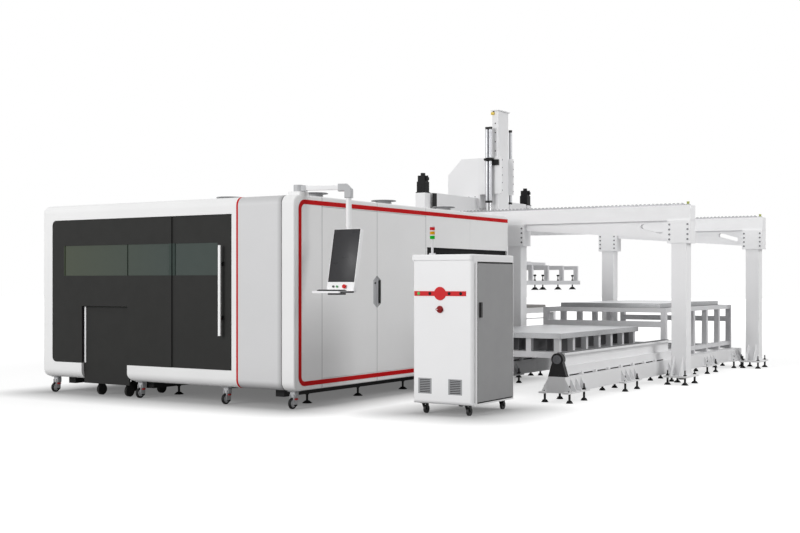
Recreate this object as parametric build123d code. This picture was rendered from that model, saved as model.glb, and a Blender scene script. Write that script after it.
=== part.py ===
from build123d import *
import os
from math import cos, radians, sin

# A laser cutting machine with a covered cutting bed, a control pendant, a source cabinet and an overhead
# sheet loader. All lengths are millimetres. The plan's zero is the enclosure's front right corner on the
# floor, with X to the right along the front, Y into the depth and Z up. The finished nodes are then moved
# so that the origin is the middle of the footprint on the floor.

# Shared values
overrun = 60.0            # how far a cut runs past the faces that it cuts
running_gap = 0.3         # space between a piece and the seat that it slides or turns on
panel_gap = 4.0           # joint between a door or panel and its opening

# Enclosure covers
enclosure_width = 4020.0
enclosure_depth = 5140.0
enclosure_height = 2160.0
enclosure_lift = 203.0    # floor to the underside of the covers
cover_edge_radius = 100.0
cover_wall = 40.0
cover_floor_rim = 250.0   # width of the return flange under the covers
left_edge_radius = 60.0
seam_from_right = 798.0
seam_width = 12.0
middle_from_right = 179.0
groove_width = 14.0
groove_depth = 12.0
end_edge_radius = 18.0
rear_gate_side = 30.0     # room beside the pallets in the rear opening
rear_gate_above = 60.0
rear_gate_below = 40.0

# Front panel, windows and sliding door, measured leftwards from the right face
panel_left = 3828.0
panel_right = 886.0
panel_bottom = 398.0
panel_top = 2174.0
panel_corner = 65.0
panel_inset = 4.0
panel_thickness = 16.0
panel_seam = 2525.0
panel_seam_width = 6.0
door_edge = 1807.0
door_lap = 30.0           # how far the door reaches behind the fixed panel
window_left = 3609.0
window_right = 1108.0
window_bottom = 1479.0
window_top = 1854.0
window_frame = 40.0       # solid edge beside the door's seam
window_glass = 6.0
handle_from_right = 1035.0
handle_width = 34.0
handle_depth = 22.0
handle_bottom = 790.0
handle_top = 1820.0
handle_reach = 44.0       # from the door's face to the bar
handle_post_low = 993.0
handle_post_high = 1607.0
handle_post = 24.0
handle_round = 7.0

# Scrap cart behind the recess in the front
recess_left = 3304.0
recess_right = 2522.0
recess_top = 1104.0
recess_depth = 44.0
recess_lip_radius = 90.0
cart_plate = 14.0
cart_plate_bottom = 150.0
tray_side_room = 30.0
tray_bottom = 215.0
tray_top = 620.0
tray_length = 800.0
tray_wall = 8.0
tray_wheel_radius = 70.0
tray_wheel_width = 34.0
tray_wheel_inset = 120.0

# Right side: double door, rear bay and red stripe
side_door_start = 518.0
side_door_middle = 1652.0
side_door_end = 2797.0
side_door_bottom = 312.0
side_door_top = 2254.0
side_door_thickness = 36.0
pull_height = 398.0
pull_width = 170.0
pull_depth = 22.0
pull_middle = 1283.0
pull_taper = 60.0
bay_start = 2830.0
bay_end = 5096.0
bay_top = 1852.0
bay_setback = 22.0
bay_panel = 14.0
bay_seam = 3983.0
bay_seam_width = 5.0
stripe_from_front = 80.0
stripe_from_edge = 50.0
stripe_width = 50.0
stripe_radius = 110.0
stripe_proud = 4.0
stripe_end = 5118.0

# Roof vents
vent_x = (380.0, 1675.0)
vent_y = (890.0, 2380.0, 3910.0)
vent_diameter = 320.0
vent_cap = 36.0
vent_neck_diameter = 230.0
vent_neck = 52.0

# Base frame, levelling feet and casters
base_beam_x = (3700.0, 2350.0, 360.0)
base_beam_width = 120.0
base_beam_height = 88.0
base_beam_start = 212.0
base_beam_back_room = 220.0
base_beam_end = enclosure_depth - base_beam_back_room
base_cross_y = (1240.0, 2640.0, base_beam_end - base_beam_width / 2)
base_foot_start = 720.0
base_foot_back_room = 240.0
base_foot_rows = 5
base_foot_pitch = (enclosure_depth - base_foot_start - base_foot_back_room) / (base_foot_rows - 1)
foot_sides = 8
stud_sides = 6
foot_pad_diameter = 124.0
foot_pad_neck = 52.0
foot_pad_height = 30.0
foot_stud_diameter = 30.0
caster_x = (3900.0, 2420.0, 1070.0, 110.0)
caster_from_end = 150.0
caster_plate = 110.0
caster_plate_thickness = 10.0
caster_body_width = 76.0
caster_body_height = 74.0
caster_wheel_radius = 62.0
caster_wheel_width = 34.0
caster_wheel_offset = 34.0
caster_knob_diameter = 92.0
caster_knob_height = 22.0
knob_sides = 12

# Cutting bed, pallets and the laser's three axes
bed_middle = 1940.0       # bed centre line, leftwards from the right face
bed_start = 900.0
bed_back_room = 260.0
bed_end = enclosure_depth - bed_back_room
bed_wall_width = 190.0
bed_top = 1040.0
bed_wall_thickness = 20.0
bed_end_height = 420.0
pallet_width = 1700.0
pallet_length = 3300.0
pallet_rail = 60.0
pallet_height = 90.0
pallet_side_room = 45.0
pallet_inner_start = 1250.0
pallet_travel = 4200.0
upper_pallet_top = 1000.0
lower_pallet_top = 866.0
slat_count = 22
slat_thickness = 8.0
slat_height = 60.0
ledge_width = 72.0
ledge_height = 16.0
guide_rail_width = 60.0
guide_rail_height = 30.0
laser_beam_y = 2900.0
laser_beam_depth = 240.0
laser_beam_bottom = 1120.0
laser_beam_height = 220.0
laser_foot_length = 420.0
laser_plate_width = 300.0
laser_plate_depth = 60.0
laser_plate_drop = 30.0
laser_plate_rise = 60.0
head_width = 130.0
head_depth = 120.0
head_bottom = 1200.0
head_top = 1500.0
head_round = 20.0
nozzle_diameter = 70.0
nozzle_tip_diameter = 16.0
nozzle_length = 120.0

# Exchange frame behind the enclosure
exchange_length = 3740.0
exchange_end = enclosure_depth + exchange_length
exchange_post = 90.0
exchange_sill = 60.0
exchange_foot = 30.0
exchange_posts = 4

# Loader columns and beams
column_x = (-3220.0, -30.0, 2475.0)
column_clearance = 360.0  # from the enclosure's back to the middle of the front columns
column_span = 3615.0
column_front_y = enclosure_depth + column_clearance
column_rear_y = column_front_y + column_span
column_width = 210.0
column_depth = 200.0
column_base_bottom = 100.0
column_base_plate = 24.0
column_base_length = 520.0
column_base_width = 330.0
column_rib_height = 260.0
column_rib_thickness = 14.0
column_rib_spread = 62.0
column_foot_x = 122.0
column_foot_y = 205.0
capital_bottom = 1933.0
capital_width = 320.0
capital_depth = 236.0
loader_beam_bottom = 2246.0
loader_beam_height = 206.0
loader_beam_width = 200.0
loader_beam_left = -3400.0
loader_beam_right = 2640.0
haunch_thickness = 70.0
haunch_shallow = 90.0
haunch_deep = 250.0
slot_length = 330.0
slot_width = 66.0
slot_tilt = 16.0
slot_drop = 108.0
slot_from_column = 250.0
rack_left = -3320.0
rack_right = 2540.0
rack_width = 44.0
rack_body = 14.0
rack_tooth_height = 20.0
rack_pitch = 60.0
rack_offset = 58.0
loader_foot_pad = 104.0

# Loader bridge with its drives
bridge_x = -1670.0
bridge_width = 230.0
bridge_bottom = 2530.0
bridge_top = 2800.0
bridge_end_room = 130.0
bridge_start = column_front_y + bridge_end_room
bridge_end = column_rear_y - bridge_end_room
bridge_nose_radius = 90.0
truck_length = 520.0
truck_width = 150.0
truck_plate = 34.0
motor_plinth = 170.0
motor_plinth_top = 2790.0
motor_width = 150.0
motor_body = 178.0
motor_shoulder_width = 128.0
motor_shoulder = 93.0
motor_cap_width = 62.0
motor_cap = 42.0
motor_corner = 14.0
gearbox_width = 110.0
gearbox_height = 190.0
hood_width = 580.0
hood_chamfer = 262.0

# Lift with its balance cylinders and suction frame
lift_x = -1252.0
lift_from_columns = 1820.0
lift_y = column_front_y + lift_from_columns
lift_width = 110.0
lift_depth = 366.0
lift_top = 4244.0
lift_bottom = 1742.0
lift_cap = 16.0
lift_cap_overhang = 22.0
lift_hole_diameter = 24.0
lift_hole_depth = 20.0
lift_hole_first = 3579.0
lift_hole_pitch = 153.0
lift_hole_count = 4
guide_plate = 36.0
guide_bottom = 2640.0
guide_plate_bottom = 2862.0
guide_top = 3470.0
guide_front = 140.0       # how far the guide plates reach past the lift's middle
cylinder_diameter = 56.0
cylinder_bottom = 2714.0
cylinder_top = 3946.0
cylinder_cap_diameter = 62.0
cylinder_cap = 24.0
cylinder_bore = 44.0
cylinder_bore_roof = 40.0
cylinder_pitch = 64.0
cylinder_set_back = 64.0
rear_cylinder_set_forward = 40.0
cylinder_reach = 74.0     # from the guide plate's face to the cylinder's middle
cylinder_clamp_bottom = 3405.0
cylinder_clamp_height = 50.0
cylinder_clamp_width = 34.0
rod_diameter = 26.0
rod_top = 3360.0
frame_x = -1200.0
frame_half_width = 690.0
frame_half_length = 1500.0
frame_spine_width = 120.0
frame_spine_bottom = 1676.0
frame_spine_height = 66.0
portal_count = 6
portal_bar = 64.0
portal_depth = 60.0
portal_bottom = 1420.0
cup_bar_width = 60.0
cup_bar_height = 66.0
cup_bar_reach = 90.0
cup_diameter = 130.0
cup_height = 44.0
cup_neck = 40.0
cup_stem = 24.0
cup_rows = 6
cup_from_portal = 150.0

# Ground rails of the sheet cart and the sheet rack
rail_x = (360.0, 2080.0)
rail_start = (2900.0, 2290.0)
rail_end = 9400.0
rail_split = 6040.0       # where the upper rail ends and the rack stands on the base beam
rail_beam_width = 220.0
rail_beam_bottom = 110.0
rail_beam_top = 300.0
rail_web = 40.0
rail_flange_width = 130.0
rail_lower_flange_bottom = 400.0
rail_lower_flange = 18.0
rail_top = 570.0
rail_top_flange = 22.0
rail_slot_pitch = 420.0
rail_slot_land = 70.0
rail_slot_height = 16.0
rail_foot_stations = (2500.0, 4240.0, 6010.0, 7625.0, 9020.0)
rail_foot_half_pitch = 210.0
rail_foot_overhang = 46.0
rail_foot_plate = 18.0
rail_foot_plate_length = 620.0
rail_foot_plate_reach = 80.0
rail_rib_height = 150.0
rail_rib_thickness = 12.0
rail_rib_pitch = 150.0
rail_rib_count = 4
rail_foot_pad = 90.0
end_plate_thickness = 14.0
end_plate_flare = 70.0
end_plate_shoulder = 60.0
bracket_plate = 70.0
bracket_foot_width = 230.0
bracket_head_width = 110.0
bracket_wheel_diameter = 150.0
bracket_wheel_z = 500.0

# Low sheet cart, which runs between the rails
low_cart_start = 3010.0
low_cart_end = 5590.0
low_cart_side_room = 12.0
low_cart_bottom = 464.0
cart_beam_height = 76.0
cart_beam_width = 80.0
low_post_size = 70.0
low_post_count = 7
low_post_x = (600.0, 980.0, 1360.0, 1740.0)
low_sheet_left = 340.0
low_sheet_right = 1812.0
low_sheet_start = 2980.0
low_sheet_end = 5620.0
low_sheet_bottom = 704.0
sheet_stack = 66.0
cart_wheel_diameter = 116.0
cart_wheel_width = 32.0
cart_wheel_from_end = 200.0

# Tall sheet rack, which stands on the base beams
rack_stand_left = 120.0
rack_stand_right = 2050.0
rack_stand_start = 6080.0
rack_stand_end = 9300.0
rack_post = 76.0
rack_posts_per_side = 6
rack_sleeper = 60.0
rack_sill = 62.0
rack_stand_top = 1020.0
rack_top_beam = 62.0
rack_mid_rail_bottom = 745.0
rack_mid_rail = 84.0
rack_sheet_left = 300.0
rack_sheet_right = 1880.0
rack_sheet_start = 6330.0
rack_sheet_end = 9120.0

# Source cabinet
cabinet_left = 1225.0
cabinet_right = 1968.0
cabinet_front = 454.0
cabinet_back = 1415.0
cabinet_bottom = 116.0
cabinet_top = 1692.0
cabinet_edge = 38.0
cabinet_wall = 30.0
cabinet_lid = 60.0
cabinet_lid_overhang = 14.0
cabinet_door_margin = 46.0
cabinet_pocket_depth = 14.0
cabinet_pocket_rim = 16.0
cabinet_pocket_radius = 40.0
cabinet_groove = 20.0
cabinet_post = 50.0
cabinet_post_round = 12.0
cabinet_door_thickness = 24.0
latch_y = 613.0
latch_bottom = 1030.0
latch_top = 1190.0
latch_width = 34.0
latch_proud = 22.0
latch_round = 8.0
band_left = 1263.0
band_right = 1889.0
band_middle_z = 1281.0
band_height = 50.0
band_proud = 6.0
band_disc_x = 1577.0
band_disc_diameter = 141.0
switch_z = 1115.0
switch_base_diameter = 76.0
switch_base_depth = 10.0
switch_grip_length = 70.0
switch_grip_width = 22.0
switch_grip_depth = 26.0
vent_panel_left = (1309.0, 1676.0)
vent_panel_size = 165.0
vent_panel_bottom = 221.0
vent_panel_depth = 12.0
louvre_count = 8
louvre_slot = 10.0
cabinet_caster_inset_x = 110.0
cabinet_caster_inset_y = 100.0
cabinet_wheel_radius = 45.0
cabinet_wheel_width = 26.0
fork_width = 52.0
fork_plate = 80.0
fork_plate_thickness = 6.0
fork_wall = 8.0
fork_trail = 26.0
fork_neck = 60.0
tower_x = 1296.0
tower_y = 770.0
tower_base_diameter = 70.0
tower_base_height = 24.0
tower_pole_diameter = 26.0
tower_pole_top = 1870.0
lamp_diameter = 56.0
lamp_height = 34.0
lamp_spacer = 13.0

# Control pendant
socket_size = 170.0
socket_height = 37.0
arm_x = -86.0
arm_y = 194.0
arm_angle = 17.0
arm_length = 584.0
arm_hub_diameter = 110.0
arm_hub_height = 76.0
arm_tube_width = 60.0
arm_tube_height = 46.0
arm_sleeve = 96.0         # from the hub's middle to the end of its sleeve
arm_sleeve_width = 76.0
elbow_limb = 82.0
elbow_reach = 158.0
elbow_chamfer = 62.0
elbow_round = 10.0
drop_diameter = 62.0
screen_width = 359.0
screen_height = 598.0
screen_tilt = 12.0
screen_thickness = 56.0
screen_border = 20.0
screen_glass = 5.0
screen_back = 60.0        # housing middle in front of the drop tube's axis
screen_drop = 678.0       # from the roof down to the screen's middle
screen_middle_z = enclosure_lift + enclosure_height - screen_drop
drop_rise = 311.0         # from the screen's middle up to the drop tube's end
drop_bottom = screen_middle_z + drop_rise
strip_height = 96.0
collar_diameter = 50.0
collar_height = 28.0
shelf_width = 360.0
shelf_depth = 300.0
shelf_thickness = 22.0
shelf_drop = 401.0
shelf_bottom = screen_middle_z - shelf_drop
button_bore_depth = 18.0
estop_diameter = 44.0
estop_head = 18.0
estop_stem = 20.0
estop_lift = 8.0
estop_across = 60.0
push_diameter = 24.0
push_head = 8.0
push_stem = 14.0
push_lift = 5.0
push_across = (-40.0, -90.0)

roof = enclosure_lift + enclosure_height


def block(low, high):
    """A bar or plate between its lowest and highest corners."""
    size = [b - a for a, b in zip(low, high)]
    return Pos(*low) * Box(*size, align=(Align.MIN, Align.MIN, Align.MIN))


def plane_x(x):
    return Plane(origin=(x, 0, 0), x_dir=(0, 1, 0), z_dir=(1, 0, 0))


def plane_y(y):
    return Plane(origin=(0, y, 0), x_dir=(1, 0, 0), z_dir=(0, -1, 0))


def across_x(outline, x_from, x_to):
    """An outline drawn in Y and Z, run from one X to another."""
    return extrude(plane_x(x_from) * outline, amount=x_to - x_from)


def across_y(outline, y_from, y_to):
    """An outline drawn in X and Z, run from one Y to another."""
    return extrude(plane_y(y_from) * outline, amount=y_from - y_to)


def polygon(*points):
    return make_face(Polyline(*points, close=True))


def rectangle(left, right, low, high):
    return Pos((left + right) / 2, (low + high) / 2) * Rectangle(right - left, high - low)


def upright(x, y, low, high, diameter):
    """A round bar standing on the plan."""
    return Pos(x, y, low) * extrude(Circle(diameter / 2), amount=high - low)


def faceted(x, y, low, high, diameter, sides):
    """A standing bar with flat sides, for small pieces that repeat often."""
    return Pos(x, y, low) * extrude(RegularPolygon(diameter / 2, sides), amount=high - low)


def levelling_foot(x, y, top, pad_diameter):
    """A cone pad on the floor with its stud."""
    pad_low = RegularPolygon(pad_diameter / 2, foot_sides)
    pad_high = Pos(0, 0, foot_pad_height) * RegularPolygon(foot_pad_neck / 2, foot_sides)
    pad = loft([pad_low, pad_high], ruled=True)
    stud = faceted(0, 0, foot_pad_height, top, foot_stud_diameter, stud_sides)
    return Pos(x, y, 0) * (pad + stud)


def group(pieces):
    """Like pieces that share one node and stay separate solids."""
    solids = [solid for piece in pieces for solid in piece.solids()]
    return Compound(children=solids)


# Enclosure covers
def cover_outline(inset):
    outline = RectangleRounded(
        enclosure_depth - inset * 2, enclosure_height - inset * 2, cover_edge_radius - inset
    )
    return Pos(enclosure_depth / 2, enclosure_lift + enclosure_height / 2) * outline


def cover_ring(x_from, x_to, inset=0.0):
    """A length of the cover: roof, front, back and a return flange below, open inside."""
    ring = across_x(cover_outline(inset) - cover_outline(cover_wall), x_from, x_to)
    floor_low = (x_from - overrun, cover_floor_rim, enclosure_lift - overrun)
    floor_high = (x_to + overrun, enclosure_depth - cover_floor_rim, enclosure_lift + cover_wall + overrun)
    return ring - block(floor_low, floor_high)


def front_hood():
    """The long cover, closed at its left, with openings for the front panel, the tray and the pallets."""
    left = -enclosure_width
    right = -seam_from_right - seam_width
    shell = across_x(cover_outline(0.0), left, right)
    shell = fillet(shell.faces().sort_by(Axis.X)[0].edges(), left_edge_radius)
    shell -= across_x(cover_outline(cover_wall), left + cover_wall, right + overrun)
    floor_low = (left + cover_floor_rim, cover_floor_rim, enclosure_lift - overrun)
    floor_high = (right + overrun, enclosure_depth - cover_floor_rim, enclosure_lift + cover_wall + overrun)
    shell -= block(floor_low, floor_high)
    opening = rectangle(-panel_left, -panel_right, panel_bottom, panel_top)
    opening = fillet(opening.vertices().group_by(Axis.X)[0], panel_corner)
    shell -= across_y(opening, -overrun, cover_wall + overrun)
    notch = rectangle(-recess_left, -recess_right, enclosure_lift - overrun, panel_bottom + overrun)
    shell -= across_y(notch, -overrun, cover_floor_rim + overrun)
    lip_x = -recess_right + recess_lip_radius
    lip_z = enclosure_lift + recess_lip_radius
    lip = rectangle(-recess_right - panel_gap, lip_x, enclosure_lift - overrun, lip_z)
    lip -= Pos(lip_x, lip_z) * Circle(recess_lip_radius)
    shell -= across_y(lip, -overrun, cover_floor_rim + overrun)
    gate_half = pallet_width / 2 + rear_gate_side
    gate = rectangle(
        -bed_middle - gate_half,
        -bed_middle + gate_half,
        lower_pallet_top - pallet_height - rear_gate_below,
        upper_pallet_top + rear_gate_above,
    )
    return shell - across_y(gate, enclosure_depth - cover_wall - overrun, enclosure_depth + overrun)


def seam_strip():
    return cover_ring(-seam_from_right - seam_width, -seam_from_right)


def middle_cover():
    return cover_ring(-seam_from_right, -middle_from_right)


def end_cover():
    """The cover's right end, with the side wall cut out for its doors and its rear bay."""
    groove_end = -middle_from_right + groove_width
    shell = cover_ring(groove_end, 0)
    shell += across_x(cover_outline(0.0), -cover_wall, 0)
    rims = shell.faces().sort_by(Axis.X)[-1].outer_wire().edges()
    shell = fillet(rims, end_edge_radius)
    doors = rectangle(side_door_start, side_door_end, side_door_bottom, side_door_top)
    shell -= across_x(doors, -cover_wall - overrun, overrun)
    bay = rectangle(bay_start, bay_end, side_door_bottom, bay_top)
    shell -= across_x(bay, -cover_wall - overrun, overrun)
    seam_high = roof - stripe_from_edge - stripe_width
    seam = rectangle(bay_seam - bay_seam_width / 2, bay_seam + bay_seam_width / 2, bay_top, seam_high)
    shell -= across_x(seam, -bay_seam_width, overrun)
    socket_low = (arm_x - socket_size / 2, arm_y - socket_size / 2, roof - cover_wall / 2)
    socket_high = (arm_x + socket_size / 2, arm_y + socket_size / 2, roof + socket_height)
    lip = cover_ring(-middle_from_right, groove_end, groove_depth)
    socket = block(socket_low, socket_high)
    return shell + lip + fillet(socket.edges().filter_by(Axis.Z), end_edge_radius)


def side_stripe():
    """The red line round the side: two arms to the back, joined by a rounded front run."""
    low = enclosure_lift + stripe_from_edge
    high = roof - stripe_from_edge
    outer = rectangle(stripe_from_front, stripe_end, low, high)
    outer = fillet(outer.vertices().group_by(Axis.X)[0], stripe_radius)
    inner_left = stripe_from_front + stripe_width
    inner = rectangle(inner_left, stripe_end + overrun, low + stripe_width, high - stripe_width)
    inner = fillet(inner.vertices().group_by(Axis.X)[0], stripe_radius - stripe_width)
    return across_x(outer - inner, 0, stripe_proud)


# Front panel, windows and sliding door
def window_opening(left, right):
    return rectangle(-left, -right, window_bottom, window_top)


def fixed_window_spans():
    half = panel_seam_width / 2
    return ((window_left, panel_seam + half), (panel_seam - half, door_edge + window_frame))


def front_fixed_panel():
    plate = rectangle(-panel_left, -door_edge, panel_bottom, panel_top)
    plate = fillet(plate.vertices().group_by(Axis.X)[0], panel_corner)
    plate -= rectangle(-recess_left, -recess_right, panel_bottom - overrun, recess_top)
    for left, right in fixed_window_spans():
        plate -= window_opening(left, right)
    return across_y(plate, panel_inset, panel_inset + panel_thickness)


def fixed_windows():
    back = panel_inset + panel_thickness
    panes = []
    for left, right in fixed_window_spans():
        panes.append(across_y(window_opening(left, right), back - window_glass, back))
    return group(panes)


def door_front():
    return panel_inset + panel_thickness + running_gap * 2


def door_window_span():
    return door_edge - window_frame, window_right


def front_door():
    low = panel_bottom + running_gap
    plate = rectangle(-door_edge - door_lap, -panel_right - panel_gap, low, panel_top - panel_gap)
    plate -= window_opening(*door_window_span())
    return across_y(plate, door_front(), door_front() + panel_thickness)


def door_window():
    back = door_front() + panel_thickness
    return across_y(window_opening(*door_window_span()), back - window_glass, back)


def door_handle():
    """A tall bar on two posts."""
    middle = -handle_from_right
    bar_front = door_front() - handle_reach - handle_depth
    bar_low = (middle - handle_width / 2, bar_front, handle_bottom)
    bar_high = (middle + handle_width / 2, bar_front + handle_depth, handle_top)
    bar = block(bar_low, bar_high)
    bar = fillet(bar.edges().filter_by(Axis.Z), handle_round)
    for height in (handle_post_low, handle_post_high):
        post_low = (middle - handle_post / 2, bar_front + handle_depth, height - handle_post)
        post_high = (middle + handle_post / 2, door_front(), height + handle_post)
        bar += block(post_low, post_high)
    return bar


def scrap_cart():
    """The tray that catches offcuts, with the front plate that fills the recess and four fixed wheels."""
    left = -recess_left + panel_gap
    right = -recess_right - panel_gap
    plate = rectangle(left, right, cart_plate_bottom, recess_top - panel_gap)
    cart = across_y(plate, recess_depth, recess_depth + cart_plate)
    tray_low = (left + tray_side_room, recess_depth + cart_plate, tray_bottom)
    tray_high = (right - tray_side_room, recess_depth + cart_plate + tray_length, tray_top)
    hollow_low = (tray_low[0] + tray_wall, tray_low[1] + tray_wall, tray_bottom + tray_wall)
    hollow_high = (tray_high[0] - tray_wall, tray_high[1] - tray_wall, tray_top + overrun)
    cart += block(tray_low, tray_high) - block(hollow_low, hollow_high)
    for x in (tray_low[0] + tray_wheel_inset, tray_high[0] - tray_wheel_inset):
        for y in (tray_low[1] + tray_wheel_inset, tray_high[1] - tray_wheel_inset):
            wheel = across_x(Pos(y, tray_wheel_radius) * Circle(tray_wheel_radius), x, x + tray_wheel_width)
            leg_low = (x - tray_wall, y - tray_wheel_radius / 2, tray_wheel_radius)
            leg_high = (x, y + tray_wheel_radius / 2, tray_bottom)
            cart += wheel + block(leg_low, leg_high)
    return cart


# Right side
def pull_outline():
    """The long hexagonal pull shared by the two doors, drawn in Y and Z."""
    half_height = pull_height / 2
    half_width = pull_width / 2
    shoulder = half_height - pull_taper
    return Pos(side_door_middle, pull_middle) * polygon(
        (0, half_height),
        (half_width, shoulder),
        (half_width, -shoulder),
        (0, -half_height),
        (-half_width, -shoulder),
        (-half_width, shoulder),
    )


def side_door(start, end):
    low = side_door_bottom + panel_gap
    high = side_door_top - panel_gap
    leaf = across_x(rectangle(start, end, low, high), -side_door_thickness, 0)
    return leaf - across_x(pull_outline(), -pull_depth, overrun)


def side_door_front():
    return side_door(side_door_start + running_gap, side_door_middle - panel_gap / 2)


def side_door_rear():
    return side_door(side_door_middle + panel_gap / 2, side_door_end - running_gap)


def rear_bay_panel():
    outline = rectangle(bay_start, bay_end, side_door_bottom, bay_top)
    return across_x(outline, -bay_setback - bay_panel, -bay_setback)


def roof_vents():
    vents = []
    for x in vent_x:
        for y in vent_y:
            neck = faceted(-x, y, roof, roof + vent_neck, vent_neck_diameter, foot_sides)
            cap = upright(-x, y, roof + vent_neck, roof + vent_neck + vent_cap, vent_diameter)
            vents.append(neck + cap)
    return group(vents)


# Base frame, feet and casters
def base_frame():
    low = enclosure_lift - base_beam_height
    frame = None
    for x in base_beam_x:
        beam_low = (-x - base_beam_width / 2, base_beam_start, low)
        beam_high = (-x + base_beam_width / 2, base_beam_end, enclosure_lift)
        beam = block(beam_low, beam_high)
        frame = beam if frame is None else frame + beam
    for y in base_cross_y:
        cross_low = (-max(base_beam_x), y - base_beam_width / 2, low)
        cross_high = (-min(base_beam_x), y + base_beam_width / 2, enclosure_lift)
        frame += block(cross_low, cross_high)
    return frame


def enclosure_feet():
    top = enclosure_lift - base_beam_height
    feet = []
    for x in base_beam_x:
        for row in range(base_foot_rows):
            y = base_foot_start + row * base_foot_pitch
            feet.append(levelling_foot(-x, y, top, foot_pad_diameter))
    return group(feet)


def levelling_caster(x, y):
    """A caster with its own levelling pad, turned by a round knob."""
    plate_bottom = enclosure_lift - caster_plate_thickness
    half = caster_plate / 2
    body_half = caster_body_width / 2
    body_bottom = plate_bottom - caster_body_height
    plate = block((x - half, y - half, plate_bottom), (x + half, y + half, enclosure_lift))
    body = block((x - body_half, y - body_half, body_bottom), (x + body_half, y + body_half, plate_bottom))
    knob_low = body_bottom - caster_knob_height
    knob = faceted(x, y, knob_low, body_bottom, caster_knob_diameter, knob_sides)
    wheel_y = y - caster_wheel_offset
    rim = Pos(wheel_y, caster_wheel_radius) * Circle(caster_wheel_radius)
    wheel = across_x(rim, x - caster_wheel_width / 2, x + caster_wheel_width / 2)
    return plate + body + knob + wheel


def enclosure_casters():
    casters = []
    for x in caster_x:
        casters.append(levelling_caster(-x, caster_from_end))
        casters.append(levelling_caster(-x, enclosure_depth - caster_from_end))
    return group(casters)


# Cutting bed, pallets and laser axes
def bed_inner_half():
    return pallet_width / 2 + pallet_side_room


def pallet_ledges(y_from, y_to):
    """The four ledges that carry the two pallets, one over the other."""
    ledges = []
    for top in (upper_pallet_top, lower_pallet_top):
        high = top - pallet_height - running_gap
        for side in (-1, 1):
            wall = -bed_middle + side * bed_inner_half()
            inner = wall - side * ledge_width
            edges = sorted((wall, inner))
            ledges.append(block((edges[0], y_from, high - ledge_height), (edges[1], y_to, high)))
    return ledges


def machine_bed():
    """Two box walls along the bed, closed by low end walls, with the pallets' ledges and the guide rails."""
    inner = bed_inner_half()
    outer = inner + bed_wall_width
    bed = None
    for side in (-1, 1):
        edges = sorted((-bed_middle + side * inner, -bed_middle + side * outer))
        wall = block((edges[0], bed_start, enclosure_lift), (edges[1], bed_end, bed_top))
        rail_mid = (edges[0] + edges[1]) / 2
        rail_low = (rail_mid - guide_rail_width / 2, bed_start, bed_top)
        rail_high = (rail_mid + guide_rail_width / 2, bed_end, bed_top + guide_rail_height)
        wall += block(rail_low, rail_high)
        bed = wall if bed is None else bed + wall
    for y in (bed_start, bed_end - bed_wall_thickness):
        end_low = (-bed_middle - inner, y, enclosure_lift)
        end_high = (-bed_middle + inner, y + bed_wall_thickness, bed_end_height)
        bed += block(end_low, end_high)
    for ledge in pallet_ledges(bed_start, bed_end):
        bed += ledge
    return bed


def pallet(y_from, top):
    """A slatted table: an open frame with thin slats on edge across it."""
    left = -bed_middle - pallet_width / 2
    right = -bed_middle + pallet_width / 2
    low = top - pallet_height
    y_to = y_from + pallet_length
    outer = block((left, y_from, low), (right, y_to, top))
    hollow_low = (left + pallet_rail, y_from + pallet_rail, low - overrun)
    hollow_high = (right - pallet_rail, y_to - pallet_rail, top + overrun)
    table = outer - block(hollow_low, hollow_high)
    pitch = (pallet_length - pallet_rail * 2) / (slat_count + 1)
    for index in range(slat_count):
        y = y_from + pallet_rail + pitch * (index + 1)
        slat_low = (left + pallet_rail, y - slat_thickness / 2, top - slat_height)
        slat_high = (right - pallet_rail, y + slat_thickness / 2, top)
        table += block(slat_low, slat_high)
    return table


def upper_pallet():
    return pallet(pallet_inner_start + pallet_travel, upper_pallet_top)


def lower_pallet():
    return pallet(pallet_inner_start, lower_pallet_top)


def laser_bridge():
    """The beam over the bed, on two feet that run along the guide rails."""
    inner = bed_inner_half()
    outer = inner + bed_wall_width
    rail_top = bed_top + guide_rail_height + running_gap
    beam_low = (-bed_middle - outer, laser_beam_y, laser_beam_bottom)
    beam_high = (-bed_middle + outer, laser_beam_y + laser_beam_depth, laser_beam_bottom + laser_beam_height)
    bridge = block(beam_low, beam_high)
    foot_start = laser_beam_y + (laser_beam_depth - laser_foot_length) / 2
    for side in (-1, 1):
        edges = sorted((-bed_middle + side * inner, -bed_middle + side * outer))
        foot_low = (edges[0], foot_start, rail_top)
        foot_high = (edges[1], foot_start + laser_foot_length, laser_beam_bottom)
        bridge += block(foot_low, foot_high)
    return bridge


def laser_carriage():
    half = laser_plate_width / 2
    back = laser_beam_y - running_gap
    low = laser_beam_bottom - laser_plate_drop
    high = laser_beam_bottom + laser_beam_height + laser_plate_rise
    plate = block((-bed_middle - half, back - laser_plate_depth, low), (-bed_middle + half, back, high))
    return fillet(plate.edges().filter_by(Axis.Y), laser_plate_drop)


def head_y():
    return laser_beam_y - laser_plate_depth - running_gap * 2 - head_depth / 2


def laser_head():
    """The cutting head: a block with a tapering nozzle below."""
    half = head_width / 2
    y = head_y()
    body_low = (-bed_middle - half, y - head_depth / 2, head_bottom)
    body = block(body_low, (-bed_middle + half, y + head_depth / 2, head_top))
    body = fillet(body.edges().filter_by(Axis.Z), head_round)
    wide = Circle(nozzle_diameter / 2)
    tip = Pos(0, 0, -nozzle_length) * Circle(nozzle_tip_diameter / 2)
    return body + Pos(-bed_middle, y, head_bottom) * loft([wide, tip])


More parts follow.
